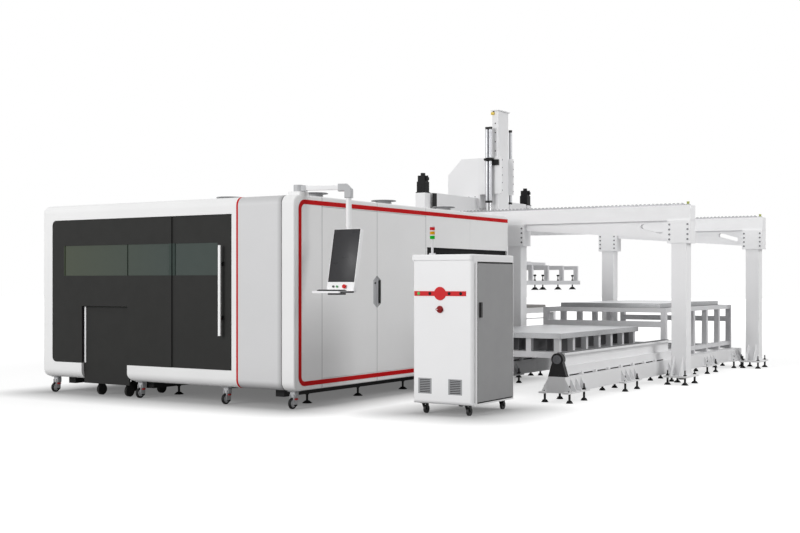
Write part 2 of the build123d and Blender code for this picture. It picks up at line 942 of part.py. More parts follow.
def exchange_frame():
    """The stand behind the enclosure where a pallet is loaded."""
    inner = bed_inner_half()
    post_top = upper_pallet_top - pallet_height / 2
    frame = None
    pitch = (exchange_end - enclosure_depth - exchange_post) / (exchange_posts - 1)
    for side in (-1, 1):
        edges = sorted((-bed_middle + side * inner, -bed_middle + side * (inner + exchange_post)))
        for index in range(exchange_posts):
            y = enclosure_depth + pitch * index
            post = block((edges[0], y, exchange_foot), (edges[1], y + exchange_post, post_top))
            pad_low = (edges[0] - exchange_foot, y - exchange_foot, 0)
            pad_high = (edges[1] + exchange_foot, y + exchange_post + exchange_foot, exchange_foot)
            post += block(pad_low, pad_high)
            frame = post if frame is None else frame + post
        rail_low = post_top - exchange_post
        frame += block((edges[0], enclosure_depth, rail_low), (edges[1], exchange_end, post_top))
    for index in range(exchange_posts):
        y = enclosure_depth + pitch * index
        sill_low = (-bed_middle - inner, y, exchange_post)
        sill_high = (-bed_middle + inner, y + exchange_post, exchange_post + exchange_sill)
        frame += block(sill_low, sill_high)
    for ledge in pallet_ledges(enclosure_depth, exchange_end):
        frame += ledge
    return frame


# Loader columns, beams and racks
def loader_column(x, y):
    base_top = column_base_bottom + column_base_plate
    half_length = column_base_length / 2
    half_base = column_base_width / 2
    half_x = column_width / 2
    half_y = column_depth / 2
    column = block((-half_base, -half_length, column_base_bottom), (half_base, half_length, base_top))
    column += block((-half_x, -half_y, base_top), (half_x, half_y, capital_bottom))
    cap_low = (-capital_width / 2, -capital_depth / 2, capital_bottom)
    cap_high = (capital_width / 2, capital_depth / 2, loader_beam_bottom)
    column += block(cap_low, cap_high)
    for side in (-1, 1):
        rib = polygon(
            (side * half_y, base_top),
            (side * half_length, base_top),
            (side * half_y, base_top + column_rib_height),
        )
        for offset in (-column_rib_spread, column_rib_spread):
            rib_from = offset - column_rib_thickness / 2
            column += across_x(rib, rib_from, rib_from + column_rib_thickness)
    return Pos(x, y, 0) * column


def loader_columns():
    return group([loader_column(x, y) for x in column_x for y in (column_front_y, column_rear_y)])


def loader_beam(y):
    """A box beam with a tapering web below its last bay, cut by a slanted slot."""
    half = loader_beam_width / 2
    top = loader_beam_bottom + loader_beam_height
    beam_low = (loader_beam_left, y - half, loader_beam_bottom)
    beam = block(beam_low, (loader_beam_right, y + half, top))
    web_left = column_x[-2] + capital_width / 2
    web_right = column_x[-1] - capital_width / 2
    web = polygon(
        (web_left, loader_beam_bottom),
        (web_right, loader_beam_bottom),
        (web_right, loader_beam_bottom - haunch_deep),
        (web_left, loader_beam_bottom - haunch_shallow),
    )
    slot_x = web_right - slot_from_column
    slot_z = loader_beam_bottom - slot_drop
    web -= Pos(slot_x, slot_z) * Rot(0, 0, -slot_tilt) * SlotOverall(slot_length, slot_width)
    return beam + across_y(web, y - haunch_thickness / 2, y + haunch_thickness / 2)


def loader_beams():
    return group([loader_beam(y) for y in (column_front_y, column_rear_y)])


def drive_rack(y):
    """A straight rack with pointed teeth along its whole length."""
    low = loader_beam_bottom + loader_beam_height
    root = low + rack_body
    count = round((rack_right - rack_left) / rack_pitch)
    pitch = (rack_right - rack_left) / count
    points = [(rack_left, low), (rack_right, low), (rack_right, root)]
    for index in range(count):
        start = rack_right - pitch * index
        points.append((start - pitch / 2, root + rack_tooth_height))
        points.append((start - pitch, root))
    middle = y - rack_offset
    return across_y(polygon(*points), middle - rack_width / 2, middle + rack_width / 2)


def drive_racks():
    return group([drive_rack(y) for y in (column_front_y, column_rear_y)])


def loader_feet():
    feet = []
    for x in column_x:
        for y in (column_front_y, column_rear_y):
            for side_x in (-column_foot_x, column_foot_x):
                for side_y in (-column_foot_y, column_foot_y):
                    feet.append(levelling_foot(x + side_x, y + side_y, column_base_bottom, loader_foot_pad))
    return group(feet)


# Loader bridge
def rack_tip():
    return loader_beam_bottom + loader_beam_height + rack_body + rack_tooth_height


def bridge_beam():
    """The moving beam, with a truck at each end that runs on the fixed beam beside its rack."""
    left = bridge_x - bridge_width / 2
    right = bridge_x + bridge_width / 2
    beam = block((left, bridge_start, bridge_bottom), (right, bridge_end, bridge_top))
    beam = fillet(beam.edges().filter_by(Axis.Z), bridge_nose_radius)
    beam_top = loader_beam_bottom + loader_beam_height
    for y in (column_front_y, column_rear_y):
        side = 1 if y < lift_y else -1
        truck_low = bridge_bottom - truck_plate
        plate_from = y - loader_beam_width / 2
        plate_to = y + loader_beam_width / 2
        reach = sorted((plate_to if side > 0 else plate_from, y + side * (truck_width + bridge_nose_radius)))
        half = truck_length / 2
        plate_low = (bridge_x - half, min(plate_from, reach[0]), truck_low)
        plate_high = (bridge_x + half, max(plate_to, reach[1]), bridge_bottom)
        runner_low = (bridge_x - half, y, beam_top + running_gap)
        runner_high = (bridge_x + half, plate_to, truck_low)
        plinth_half = motor_plinth / 2
        plinth_low = (bridge_x - plinth_half, y - plinth_half, bridge_bottom)
        plinth_high = (bridge_x + plinth_half, y + plinth_half, motor_plinth_top)
        beam += block(plate_low, plate_high) + block(runner_low, runner_high)
        beam += block(plinth_low, plinth_high)
    return beam


def motor_tier(y, low, width, height):
    """One step of a motor: a square block with rounded corners."""
    return Pos(bridge_x, y, low) * extrude(RectangleRounded(width, width, motor_corner), amount=height)


def servo_motor(y):
    """A motor standing on its plinth, stepped in to its cable cap."""
    shoulder = motor_plinth_top + motor_body
    motor = motor_tier(y, motor_plinth_top, motor_width, motor_body)
    motor += motor_tier(y, shoulder, motor_shoulder_width, motor_shoulder)
    return motor + motor_tier(y, shoulder + motor_shoulder, motor_cap_width, motor_cap)


def gearbox(y):
    """The block between a motor's plinth and the end of the bridge."""
    half = gearbox_width / 2
    if y < lift_y:
        edges = (y + motor_plinth / 2, bridge_start)
    else:
        edges = (bridge_end, y - motor_plinth / 2)
    low = (bridge_x - half, edges[0], bridge_bottom)
    return block(low, (bridge_x + half, edges[1], bridge_bottom + gearbox_height))


def servo_motors():
    ends = (column_front_y, column_rear_y)
    return group([servo_motor(y) for y in ends] + [gearbox(y) for y in ends])


def guide_half():
    """From the lift's middle to the outer face of a guide plate."""
    return lift_depth / 2 + running_gap + guide_plate


def bridge_hood():
    """The drive's housing on the bridge, flush with the lift's guide and slanted at its back."""
    back = bridge_x + bridge_width / 2
    left = back - hood_width
    outline = polygon(
        (left, bridge_top),
        (back, bridge_top),
        (back, guide_top),
        (left + hood_chamfer, guide_top),
        (left, guide_top - hood_chamfer),
    )
    return across_y(outline, lift_y - guide_half(), lift_y + guide_half())


# Lift
def lift_guide():
    """Two plates that hold the lift between them, joined by a back plate on the bridge."""
    back = bridge_x + bridge_width / 2
    front = lift_x + guide_front
    outer = guide_half()
    inner = outer - guide_plate
    back_low = (back, lift_y - outer, guide_bottom)
    guide = block(back_low, (back + guide_plate, lift_y + outer, guide_top))
    for side in (-1, 1):
        edges = sorted((lift_y + side * inner, lift_y + side * outer))
        guide += block((back, edges[0], guide_plate_bottom), (front, edges[1], guide_top))
    return guide


def cylinder_places():
    """Two cylinders in front of the lift and one behind it."""
    offset = guide_half() + cylinder_reach
    middle = lift_x - cylinder_set_back
    near = lift_y - offset
    return (
        (middle - cylinder_pitch / 2, near),
        (middle + cylinder_pitch / 2, near),
        (lift_x + rear_cylinder_set_forward, lift_y + offset),
    )


def balance_cylinders():
    """Gas cylinders clamped to the lift's guide, open below for their rods."""
    cylinders = []
    for x, y in cylinder_places():
        side = 1 if y > lift_y else -1
        face = lift_y + side * guide_half()
        barrel = upright(x, y, cylinder_bottom + cylinder_cap, cylinder_top, cylinder_diameter)
        for low in (cylinder_bottom, cylinder_top):
            barrel += faceted(x, y, low, low + cylinder_cap, cylinder_cap_diameter, knob_sides)
        clamp_edges = sorted((y, face))
        clamp_low = (x - cylinder_clamp_width / 2, clamp_edges[0], cylinder_clamp_bottom)
        clamp_top = cylinder_clamp_bottom + cylinder_clamp_height
        clamp_high = (x + cylinder_clamp_width / 2, clamp_edges[1], clamp_top)
        barrel += block(clamp_low, clamp_high)
        bore = upright(x, y, cylinder_bottom - overrun, cylinder_top - cylinder_bore_roof, cylinder_bore)
        cylinders.append(barrel - bore)
    return group(cylinders)


def cylinder_rods():
    low = frame_spine_bottom + frame_spine_height
    return group([faceted(x, y, low, rod_top, rod_diameter, knob_sides) for x, y in cylinder_places()])


def lift_column():
    """The lift's post with its cap plate and a row of holes down its front strip."""
    half_x = lift_width / 2
    half_y = lift_depth / 2
    post = block(
        (lift_x - half_x, lift_y - half_y, lift_bottom), (lift_x + half_x, lift_y + half_y, lift_top)
    )
    cap_x = half_x + lift_cap_overhang
    cap_y = half_y + lift_cap_overhang
    cap_low = (lift_x - cap_x, lift_y - cap_y, lift_top)
    post += block(cap_low, (lift_x + cap_x, lift_y + cap_y, lift_top + lift_cap))
    face = lift_y - half_y
    for index in range(lift_hole_count):
        z = lift_hole_first + lift_hole_pitch * index
        hole = Pos(lift_x, z) * RegularPolygon(lift_hole_diameter / 2, foot_sides)
        post -= across_y(hole, face - overrun, face + lift_hole_depth)
    return post


def portal_y(index):
    return lift_y - frame_half_length + index * frame_half_length * 2 / (portal_count - 1)


def suction_frame():
    """The spine under the lift, with portals along it and a cup bar along each side."""
    spine_top = frame_spine_bottom + frame_spine_height
    half = frame_spine_width / 2
    reach = frame_half_length + portal_depth / 2
    near = cylinder_places()[0][1] - cylinder_diameter
    far = cylinder_places()[2][1] + cylinder_diameter
    deck_low = (frame_x - frame_half_width / 2, near, frame_spine_bottom)
    frame = block(deck_low, (frame_x + frame_half_width / 2, far, spine_top))
    spine_low = (frame_x - half, lift_y - reach, frame_spine_bottom)
    frame += block(spine_low, (frame_x + half, lift_y + reach, spine_top))
    left = frame_x - frame_half_width
    right = frame_x + frame_half_width
    for index in range(portal_count):
        y = portal_y(index)
        outline = rectangle(left, right, portal_bottom, frame_spine_bottom)
        outline -= rectangle(
            left + portal_bar, right - portal_bar, portal_bottom - overrun, frame_spine_bottom - portal_bar
        )
        frame += across_y(outline, y - portal_depth / 2, y + portal_depth / 2)
    for x in (left + portal_bar / 2, right - portal_bar / 2):
        bar_low = (x - cup_bar_width / 2, lift_y - reach - cup_bar_reach, portal_bottom - cup_bar_height)
        bar_high = (x + cup_bar_width / 2, lift_y + reach + cup_bar_reach, portal_bottom)
        frame += block(bar_low, bar_high)
    return frame


def suction_cups():
    """Rubber cups under the bars, each on its stem."""
    cups = []
    bar_low = portal_bottom - cup_bar_height
    for side in (-1, 1):
        x = frame_x + side * (frame_half_width - portal_bar / 2)
        for index in range(cup_rows):
            toward = 1 if index < cup_rows / 2 else -1
            y = portal_y(index) + toward * cup_from_portal
            rim = Pos(x, y, bar_low - cup_height - cup_neck) * RegularPolygon(cup_diameter / 2, knob_sides)
            neck = Pos(x, y, bar_low - cup_neck) * RegularPolygon(cup_stem, knob_sides)
            cup = loft([rim, neck], ruled=True)
            cups.append(cup + faceted(x, y, bar_low - cup_neck, bar_low, cup_stem, stud_sides))
    return group(cups)


# Ground rails
def rail_stations(index):
    return [y for y in rail_foot_stations if y > rail_start[index]]


def ground_rail(index):
    """A base beam with a slotted pad and a flanged rail on its near part, ribbed feet and an end plate."""
    x = rail_x[index]
    start = rail_start[index]
    half = rail_beam_width / 2
    rail = block((x - half, start, rail_beam_bottom), (x + half, rail_end, rail_beam_top))
    half_flange = rail_flange_width / 2
    section = rectangle(x - rail_web / 2, x + rail_web / 2, rail_lower_flange_bottom, rail_top)
    flange_top = rail_lower_flange_bottom + rail_lower_flange
    section += rectangle(x - half_flange, x + half_flange, rail_lower_flange_bottom, flange_top)
    section += rectangle(x - half_flange, x + half_flange, rail_top - rail_top_flange, rail_top)
    rail += across_y(section, start + bracket_plate, rail_split)
    pad = block(
        (x - half_flange, start + bracket_plate, rail_beam_top),
        (x + half_flange, rail_split, rail_lower_flange_bottom),
    )
    for step in range(int((rail_split - start - bracket_plate) / rail_slot_pitch)):
        y = start + bracket_plate + rail_slot_pitch * step
        slot_low = (x - half_flange - overrun, y + rail_slot_land, rail_beam_top)
        slot_high = (x + half_flange + overrun, y + rail_slot_pitch, rail_beam_top + rail_slot_height)
        pad -= block(slot_low, slot_high)
    rail += pad
    low = rail_beam_bottom + rail_foot_plate
    for y in rail_stations(index):
        for side in (-1, 1):
            face = x + side * half
            tip = face + side * rail_foot_plate_reach
            edges = sorted((face, tip))
            plate_low = (edges[0], y - rail_foot_plate_length / 2, rail_beam_bottom)
            rail += block(plate_low, (edges[1], y + rail_foot_plate_length / 2, low))
            rib = polygon((face, low), (tip, low), (face, low + rail_rib_height))
            for step in range(rail_rib_count):
                rib_y = y + (step - (rail_rib_count - 1) / 2) * rail_rib_pitch
                rail += across_y(rib, rib_y - rail_rib_thickness / 2, rib_y + rail_rib_thickness / 2)
    flare = half + end_plate_flare
    plate = polygon(
        (x - flare, rail_beam_bottom),
        (x + flare, rail_beam_bottom),
        (x + half, rail_beam_top - end_plate_shoulder),
        (x + half, rail_beam_top),
        (x - half, rail_beam_top),
        (x - half, rail_beam_top - end_plate_shoulder),
    )
    return rail + across_y(plate, start - end_plate_thickness, start)


def ground_rails():
    return group([ground_rail(index) for index in range(len(rail_x))])


def rail_feet():
    feet = []
    reach = rail_beam_width / 2 + rail_foot_overhang
    for index, x in enumerate(rail_x):
        for y in rail_stations(index):
            for side_x in (-reach, reach):
                for side_y in (-rail_foot_half_pitch, rail_foot_half_pitch):
                    feet.append(levelling_foot(x + side_x, y + side_y, rail_beam_bottom, rail_foot_pad))
    return group(feet)


def rail_end_brackets():
    """A black bracket with a round head that closes the near end of each upper rail."""
    brackets = []
    for x, start in zip(rail_x, rail_start):
        outline = polygon(
            (x - bracket_foot_width / 2, rail_beam_top),
            (x + bracket_foot_width / 2, rail_beam_top),
            (x + bracket_head_width / 2, bracket_wheel_z),
            (x - bracket_head_width / 2, bracket_wheel_z),
        )
        outline += Pos(x, bracket_wheel_z) * Circle(bracket_wheel_diameter / 2)
        brackets.append(across_y(outline, start, start + bracket_plate))
    return group(brackets)


# Sheet cart and sheet rack
def low_cart_frame():
    """A flat frame between the rails, with a wheel at each corner and rows of short posts for the stack."""
    room = rail_flange_width / 2 + low_cart_side_room
    left = rail_x[0] + room
    right = rail_x[1] - room
    low = low_cart_bottom
    high = low + cart_beam_height
    frame = block((left, low_cart_start, low), (left + cart_beam_width, low_cart_end, high))
    frame += block((right - cart_beam_width, low_cart_start, low), (right, low_cart_end, high))
    pitch = (low_cart_end - low_cart_start - cart_beam_width) / (low_post_count - 1)
    for index in range(low_post_count):
        y = low_cart_start + pitch * index
        frame += block((left + cart_beam_width, y, low), (right - cart_beam_width, y + cart_beam_width, high))
        middle = y + cart_beam_width / 2
        for x in low_post_x:
            post_low = (x - low_post_size / 2, middle - low_post_size / 2, high)
            frame += block(post_low, (x + low_post_size / 2, middle + low_post_size / 2, low_sheet_bottom))
    axle = rail_lower_flange_bottom + rail_lower_flange + running_gap + cart_wheel_diameter / 2
    for y in (low_cart_start + cart_wheel_from_end, low_cart_end - cart_wheel_from_end):
        rim = Pos(y, axle) * Circle(cart_wheel_diameter / 2)
        frame += across_x(rim, left - low_cart_side_room - cart_wheel_width, left)
        frame += across_x(rim, right, right + low_cart_side_room + cart_wheel_width)
    return frame


def low_cart_sheets():
    low = (low_sheet_left, low_sheet_start, low_sheet_bottom)
    return block(low, (low_sheet_right, low_sheet_end, low_sheet_bottom + sheet_stack))


def tall_rack_frame():
    """An open stand of square tube: sleepers on the beams, sills, posts, a top frame and a front rail."""
    left = rack_stand_left
    right = rack_stand_right
    sill_low = rail_beam_top + rack_sleeper
    post_low = sill_low + rack_sill
    post_high = rack_stand_top - rack_top_beam
    pitch = (rack_stand_end - rack_stand_start - rack_post) / (rack_posts_per_side - 1)
    outer = block((left, rack_stand_start, post_high), (right, rack_stand_end, rack_stand_top))
    hollow_low = (left + rack_post, rack_stand_start + rack_post, post_high - overrun)
    hollow_high = (right - rack_post, rack_stand_end - rack_post, rack_stand_top + overrun)
    frame = outer - block(hollow_low, hollow_high)
    for x in (left, right - rack_post):
        frame += block((x, rack_stand_start, sill_low), (x + rack_post, rack_stand_end, post_low))
    for index in range(rack_posts_per_side):
        y = rack_stand_start + pitch * index
        frame += block((left, y, rail_beam_top), (right, y + rack_post, sill_low))
        for x in (left, right - rack_post):
            frame += block((x, y, post_low), (x + rack_post, y + rack_post, post_high))
    rail_high = rack_mid_rail_bottom + rack_mid_rail
    for y in (rack_stand_start, rack_stand_end - rack_post):
        rail_low = (left + rack_post, y, rack_mid_rail_bottom)
        frame += block(rail_low, (right - rack_post, y + rack_post, rail_high))
    for index in range(1, rack_posts_per_side - 1):
        y = rack_stand_start + pitch * index
        frame += block((left + rack_post, y, post_high), (right - rack_post, y + rack_post, rack_stand_top))
    return frame


def tall_rack_sheets():
    low = (rack_sheet_left, rack_sheet_start, rack_stand_top)
    return block(low, (rack_sheet_right, rack_sheet_end, rack_stand_top + sheet_stack))


# Source cabinet
def cabinet_doorway(gap, sill_gap):
    """The doorway in the right face, or the door that stands in it, drawn in Y and Z."""
    return rectangle(
        cabinet_front + cabinet_edge + cabinet_groove + cabinet_post + gap,
        cabinet_back - cabinet_door_margin - gap,
        cabinet_bottom + cabinet_wall + sill_gap,
        cabinet_top - cabinet_lid - cabinet_wall - gap,
    )


def cabinet_pocket():
    """The shallow pocket round the door, drawn in Y and Z, with the rounded post left beside the door."""
    front = cabinet_front + cabinet_edge
    low = cabinet_bottom + cabinet_pocket_rim
    high = cabinet_top - cabinet_lid - cabinet_pocket_rim
    pocket = rectangle(front, cabinet_back - cabinet_edge, low, high)
    pocket = fillet(pocket.vertices().group_by(Axis.X)[0], cabinet_pocket_radius)
    post_front = front + cabinet_groove
    pocket = across_x(pocket, cabinet_right - cabinet_pocket_depth, cabinet_right + overrun)
    post_low = (cabinet_right - cabinet_wall, post_front, low)
    post = block(post_low, (cabinet_right, post_front + cabinet_post, high))
    return pocket - fillet(post.faces().sort_by(Axis.X)[-1].edges().filter_by(Axis.Z), cabinet_post_round)


def vent_outline(left):
    return rectangle(left, left + vent_panel_size, vent_panel_bottom, vent_panel_bottom + vent_panel_size)


def cabinet_body():
    """A case with rounded upright edges and a lid, hollow, open to the right behind its door."""
    edge = cabinet_lid_overhang
    body_top = cabinet_top - cabinet_lid
    low = (cabinet_left + edge, cabinet_front, cabinet_bottom)
    high = (cabinet_right, cabinet_back, body_top)
    body = block(low, high)
    front_foot = body.faces().sort_by(Axis.Y)[0].edges().sort_by(Axis.Z)[0]
    body = fillet(body.edges().filter_by(Axis.Z) + [front_foot], cabinet_edge)
    hollow_low = [value + cabinet_wall for value in low]
    hollow_high = [value - cabinet_wall for value in high]
    body -= block(hollow_low, hollow_high)
    opening = cabinet_doorway(0.0, 0.0)
    body -= across_x(opening, cabinet_right - cabinet_wall - overrun, cabinet_right + overrun)
    body -= cabinet_pocket()
    for left in vent_panel_left:
        body -= across_y(vent_outline(left), cabinet_front - overrun, cabinet_front + vent_panel_depth)
    lid = block((cabinet_left, cabinet_front - edge, body_top), (cabinet_right, cabinet_back, cabinet_top))
    lid = fillet(lid.edges().filter_by(Axis.Z), cabinet_edge)
    return body + fillet(lid.faces().sort_by(Axis.Z)[-1].edges(), cabinet_lid_overhang)


def cabinet_door():
    leaf = cabinet_doorway(panel_gap, running_gap)
    return across_x(leaf, cabinet_right - cabinet_door_thickness, cabinet_right)


def cabinet_latch():
    low = (cabinet_right, latch_y - latch_width / 2, latch_bottom)
    latch = block(low, (cabinet_right + latch_proud, latch_y + latch_width / 2, latch_top))
    return fillet(latch.edges().filter_by(Axis.X), latch_round)


def control_band():
    middle = (band_left + band_right) / 2
    bar = Pos(middle, band_middle_z) * Rectangle(band_right - band_left, band_height)
    bar += Pos(band_disc_x, band_middle_z) * Circle(band_disc_diameter / 2)
    return across_y(bar, cabinet_front - band_proud, cabinet_front)


def main_switch():
    """A rotary switch: a round base with a grip across it."""
    face = cabinet_front - running_gap
    base = Pos(band_disc_x, switch_z) * Circle(switch_base_diameter / 2)
    grip = Pos(band_disc_x, switch_z) * SlotOverall(switch_grip_length, switch_grip_width)
    grip_face = face - switch_base_depth
    return across_y(base, grip_face, face) + across_y(grip, grip_face - switch_grip_depth, grip_face)


def cabinet_vents():
    """Two louvred panels let into the front."""
    panels = []
    pitch = vent_panel_size / (louvre_count + 1)
    for left in vent_panel_left:
        panel = vent_outline(left)
        middle = left + vent_panel_size / 2
        for index in range(louvre_count):
            slot = Rectangle(vent_panel_size - pitch * 2, louvre_slot)
            panel -= Pos(middle, vent_panel_bottom + pitch * (index + 1)) * slot
        panels.append(across_y(panel, cabinet_front, cabinet_front + vent_panel_depth))
    return group(panels)


def cabinet_caster(x, y):
    """A swivel caster: top plate, fork and wheel."""
    half = fork_plate / 2
    plate_low = cabinet_bottom - fork_plate_thickness
    caster = block((x - half, y - half, plate_low), (x + half, y + half, cabinet_bottom))
    for side in (-1, 1):
        outer = x + side * fork_width / 2
        edges = sorted((outer, outer - side * fork_wall))
        leg = polygon(
            (y - fork_neck / 2, plate_low),
            (y + fork_neck / 2, plate_low),
            (y + fork_trail + fork_wall, cabinet_wheel_radius),
            (y + fork_trail - fork_wall, cabinet_wheel_radius - fork_wall),
        )
        caster += across_x(leg, edges[0], edges[1])
    rim = Pos(y + fork_trail, cabinet_wheel_radius) * Circle(cabinet_wheel_radius)
    hub = Pos(y + fork_trail, cabinet_wheel_radius) * RegularPolygon(fork_wall, stud_sides)
    inner = fork_width / 2 - fork_wall
    caster += across_x(rim, x - cabinet_wheel_width / 2, x + cabinet_wheel_width / 2)
    return caster + across_x(hub, x - inner, x + inner)


def cabinet_casters():
    casters = []
    for x in (cabinet_left + cabinet_caster_inset_x, cabinet_right - cabinet_caster_inset_x):
        for y in (cabinet_front + cabinet_caster_inset_y, cabinet_back - cabinet_caster_inset_y):
            casters.append(cabinet_caster(x, y))
    return group(casters)


def lamp_bottoms():
    return [tower_pole_top + index * (lamp_height + lamp_spacer) for index in range(3)]


def signal_tower():
    """The signal tower's foot, pole, the rings between its lamps and its cap."""
    tower = upright(tower_x, tower_y, cabinet_top, cabinet_top + tower_base_height, tower_base_diameter)
    tower += upright(tower_x, tower_y, cabinet_top + tower_base_height, tower_pole_top, tower_pole_diameter)
    rings = [tower]
    for low in lamp_bottoms():
        ring_low = low + lamp_height
        rings.append(upright(tower_x, tower_y, ring_low, ring_low + lamp_spacer, lamp_diameter))
    return group(rings)


def signal_lamps():
    return group([upright(tower_x, tower_y, low, low + lamp_height, lamp_diameter) for low in lamp_bottoms()])


# Control pendant
def arm_tip():
    return arm_x + arm_length * cos(radians(arm_angle)), arm_y + arm_length * sin(radians(arm_angle))


def pendant_arm():
    """A swinging arm: hub, tube, elbow and drop tube."""
    low = roof + socket_height + running_gap
    high = low + arm_hub_height
    tube_low = (high + low) / 2 - arm_tube_height / 2
    arm = upright(0, 0, low, high, arm_hub_diameter)
    tube_high = tube_low + arm_tube_height
    arm += block((0, -arm_tube_width / 2, tube_low), (arm_length, arm_tube_width / 2, tube_high))
    sleeve_half = arm_sleeve_width / 2
    sleeve_low = (0, -sleeve_half, tube_low - elbow_round)
    sleeve = block(sleeve_low, (arm_sleeve, sleeve_half, tube_high + elbow_round))
    arm += fillet(sleeve.edges().filter_by(Axis.X), elbow_round)
    half = elbow_limb / 2
    top = (high + low) / 2 + half
    outer = arm_length + half
    elbow = polygon(
        (outer - elbow_reach, top - elbow_limb),
        (outer - elbow_reach, top),
        (outer - elbow_chamfer, top),
        (outer, top - elbow_chamfer),
        (outer, top - elbow_reach),
        (outer - elbow_limb, top - elbow_reach),
        (outer - elbow_limb, top - elbow_limb),
    )
    elbow = across_y(elbow, -half, half)
    sides = elbow.faces().filter_by(Axis.Y)
    arm += fillet(sides.edges(), elbow_round)
    arm += upright(arm_length, 0, drop_bottom, top - elbow_reach, drop_diameter)
    return Pos(arm_x, arm_y, 0) * Rot(0, 0, arm_angle) * arm


def screen_frame():
    """The screen's own frame: its middle, leaned back, with X across, Y into the housing and Z up."""
    tip_x, tip_y = arm_tip()
    return Pos(tip_x, tip_y - screen_back, screen_middle_z) * Rot(-screen_tilt, 0, 0)


def screen_pane():
    half_x = screen_width / 2 - screen_border
    half_z = screen_height / 2 - screen_border
    front = -screen_thickness / 2
    return screen_frame() * block((-half_x, front, -half_z), (half_x, front + screen_glass, half_z))


def button_row():
    return -screen_height / 2 - strip_height / 2


def button_places():
    """Each button's place across the strip, with its stem's size."""
    row = [(estop_across, estop_stem)]
    row += [(across, push_stem) for across in push_across]
    return row


def pendant_housing():
    """The screen's case with its control strip, keyboard shelf and the collar that it swivels on."""
    half_x = screen_width / 2
    half_y = screen_thickness / 2
    low = -screen_height / 2 - strip_height
    case = block((-half_x, -half_y, low), (half_x, half_y, screen_height / 2))
    case = fillet(case.edges().filter_by(Axis.Y), screen_border / 2)
    for across, stem in button_places():
        bore = Pos(across, button_row()) * Circle(stem / 2 + running_gap)
        case -= across_y(bore, -half_y - overrun, -half_y + button_bore_depth)
    case = screen_frame() * case - screen_pane()
    tip_x, tip_y = arm_tip()
    collar_top = drop_bottom - running_gap
    case += upright(tip_x, tip_y, collar_top - collar_height, collar_top, collar_diameter)
    strip_front = tip_y - screen_back - (screen_height / 2 + strip_height) * sin(radians(screen_tilt))
    shelf_low = (tip_x - shelf_width / 2, strip_front - shelf_depth, shelf_bottom)
    shelf = block(shelf_low, (tip_x + shelf_width / 2, strip_front, shelf_bottom + shelf_thickness))
    return case + fillet(shelf.edges().filter_by(Axis.Z), screen_border)


def button(across, lift, head_diameter, head, stem):
    """A push button: its head stands off the strip by the travel, its stem runs in the bore."""
    face = -screen_thickness / 2
    place = Pos(across, button_row())
    shape = across_y(place * Circle(head_diameter / 2), face - lift - head, face - lift)
    shape += across_y(place * Circle(stem / 2), face - lift, face + button_bore_depth - lift)
    return screen_frame() * shape


def estop_button():
    return button(estop_across, estop_lift, estop_diameter, estop_head, estop_stem)


def start_button():
    return button(push_across[0], push_lift, push_diameter, push_head, push_stem)


def stop_button():
    return button(push_across[1], push_lift, push_diameter, push_head, push_stem)


nodes = {
    "base_frame": base_frame(),
    "front_hood": front_hood(),
    "seam_strip": seam_strip(),
    "middle_cover": middle_cover(),
    "end_cover": end_cover(),
    "side_stripe": side_stripe(),
    "front_fixed_panel": front_fixed_panel(),
    "fixed_windows": fixed_windows(),
    "front_door": front_door(),
    "door_window": door_window(),
    "door_handle": door_handle(),
    "scrap_cart": scrap_cart(),
    "side_door_front": side_door_front(),
    "side_door_rear": side_door_rear(),
    "rear_bay_panel": rear_bay_panel(),
    "roof_vents": roof_vents(),
    "enclosure_feet": enclosure_feet(),
    "enclosure_casters": enclosure_casters(),
    "machine_bed": machine_bed(),
    "upper_pallet": upper_pallet(),
    "lower_pallet": lower_pallet(),
    "laser_bridge": laser_bridge(),
    "laser_carriage": laser_carriage(),
    "laser_head": laser_head(),
    "exchange_frame": exchange_frame(),
    "loader_columns": loader_columns(),
    "loader_beams": loader_beams(),
    "drive_racks": drive_racks(),
    "loader_feet": loader_feet(),
    "bridge_beam": bridge_beam(),
    "servo_motors": servo_motors(),
    "bridge_hood": bridge_hood(),
    "lift_guide": lift_guide(),
    "balance_cylinders": balance_cylinders(),
    "cylinder_rods": cylinder_rods(),
    "lift_column": lift_column(),
    "suction_frame": suction_frame(),
    "suction_cups": suction_cups(),
    "ground_rails": ground_rails(),
    "rail_feet": rail_feet(),
    "rail_end_brackets": rail_end_brackets(),
    "low_cart_frame": low_cart_frame(),
    "low_cart_sheets": low_cart_sheets(),
    "tall_rack_frame": tall_rack_frame(),
    "tall_rack_sheets": tall_rack_sheets(),
    "cabinet_body": cabinet_body(),
    "cabinet_door": cabinet_door(),
    "cabinet_latch": cabinet_latch(),
    "control_band": control_band(),
    "main_switch": main_switch(),
    "cabinet_vents": cabinet_vents(),
    "cabinet_casters": cabinet_casters(),
    "signal_tower": signal_tower(),
    "signal_lamps": signal_lamps(),
    "pendant_arm": pendant_arm(),
    "pendant_housing": pendant_housing(),
    "screen_pane": screen_pane(),
    "estop_button": estop_button(),
    "start_button": start_button(),
    "stop_button": stop_button(),
}

# The origin is the middle of the footprint on the floor
boxes = [shape.bounding_box() for shape in nodes.values()]
middle_x = (min(box.min.X for box in boxes) + max(box.max.X for box in boxes)) / 2
middle_y = (min(box.min.Y for box in boxes) + max(box.max.Y for box in boxes)) / 2
to_origin = Pos(-middle_x, -middle_y, 0)

os.makedirs("parts", exist_ok=True)
for name, shape in nodes.items():
    export_step(to_origin * shape, f"parts/{name}.step")
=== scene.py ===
import math

import bpy
from mathutils import Matrix, Vector


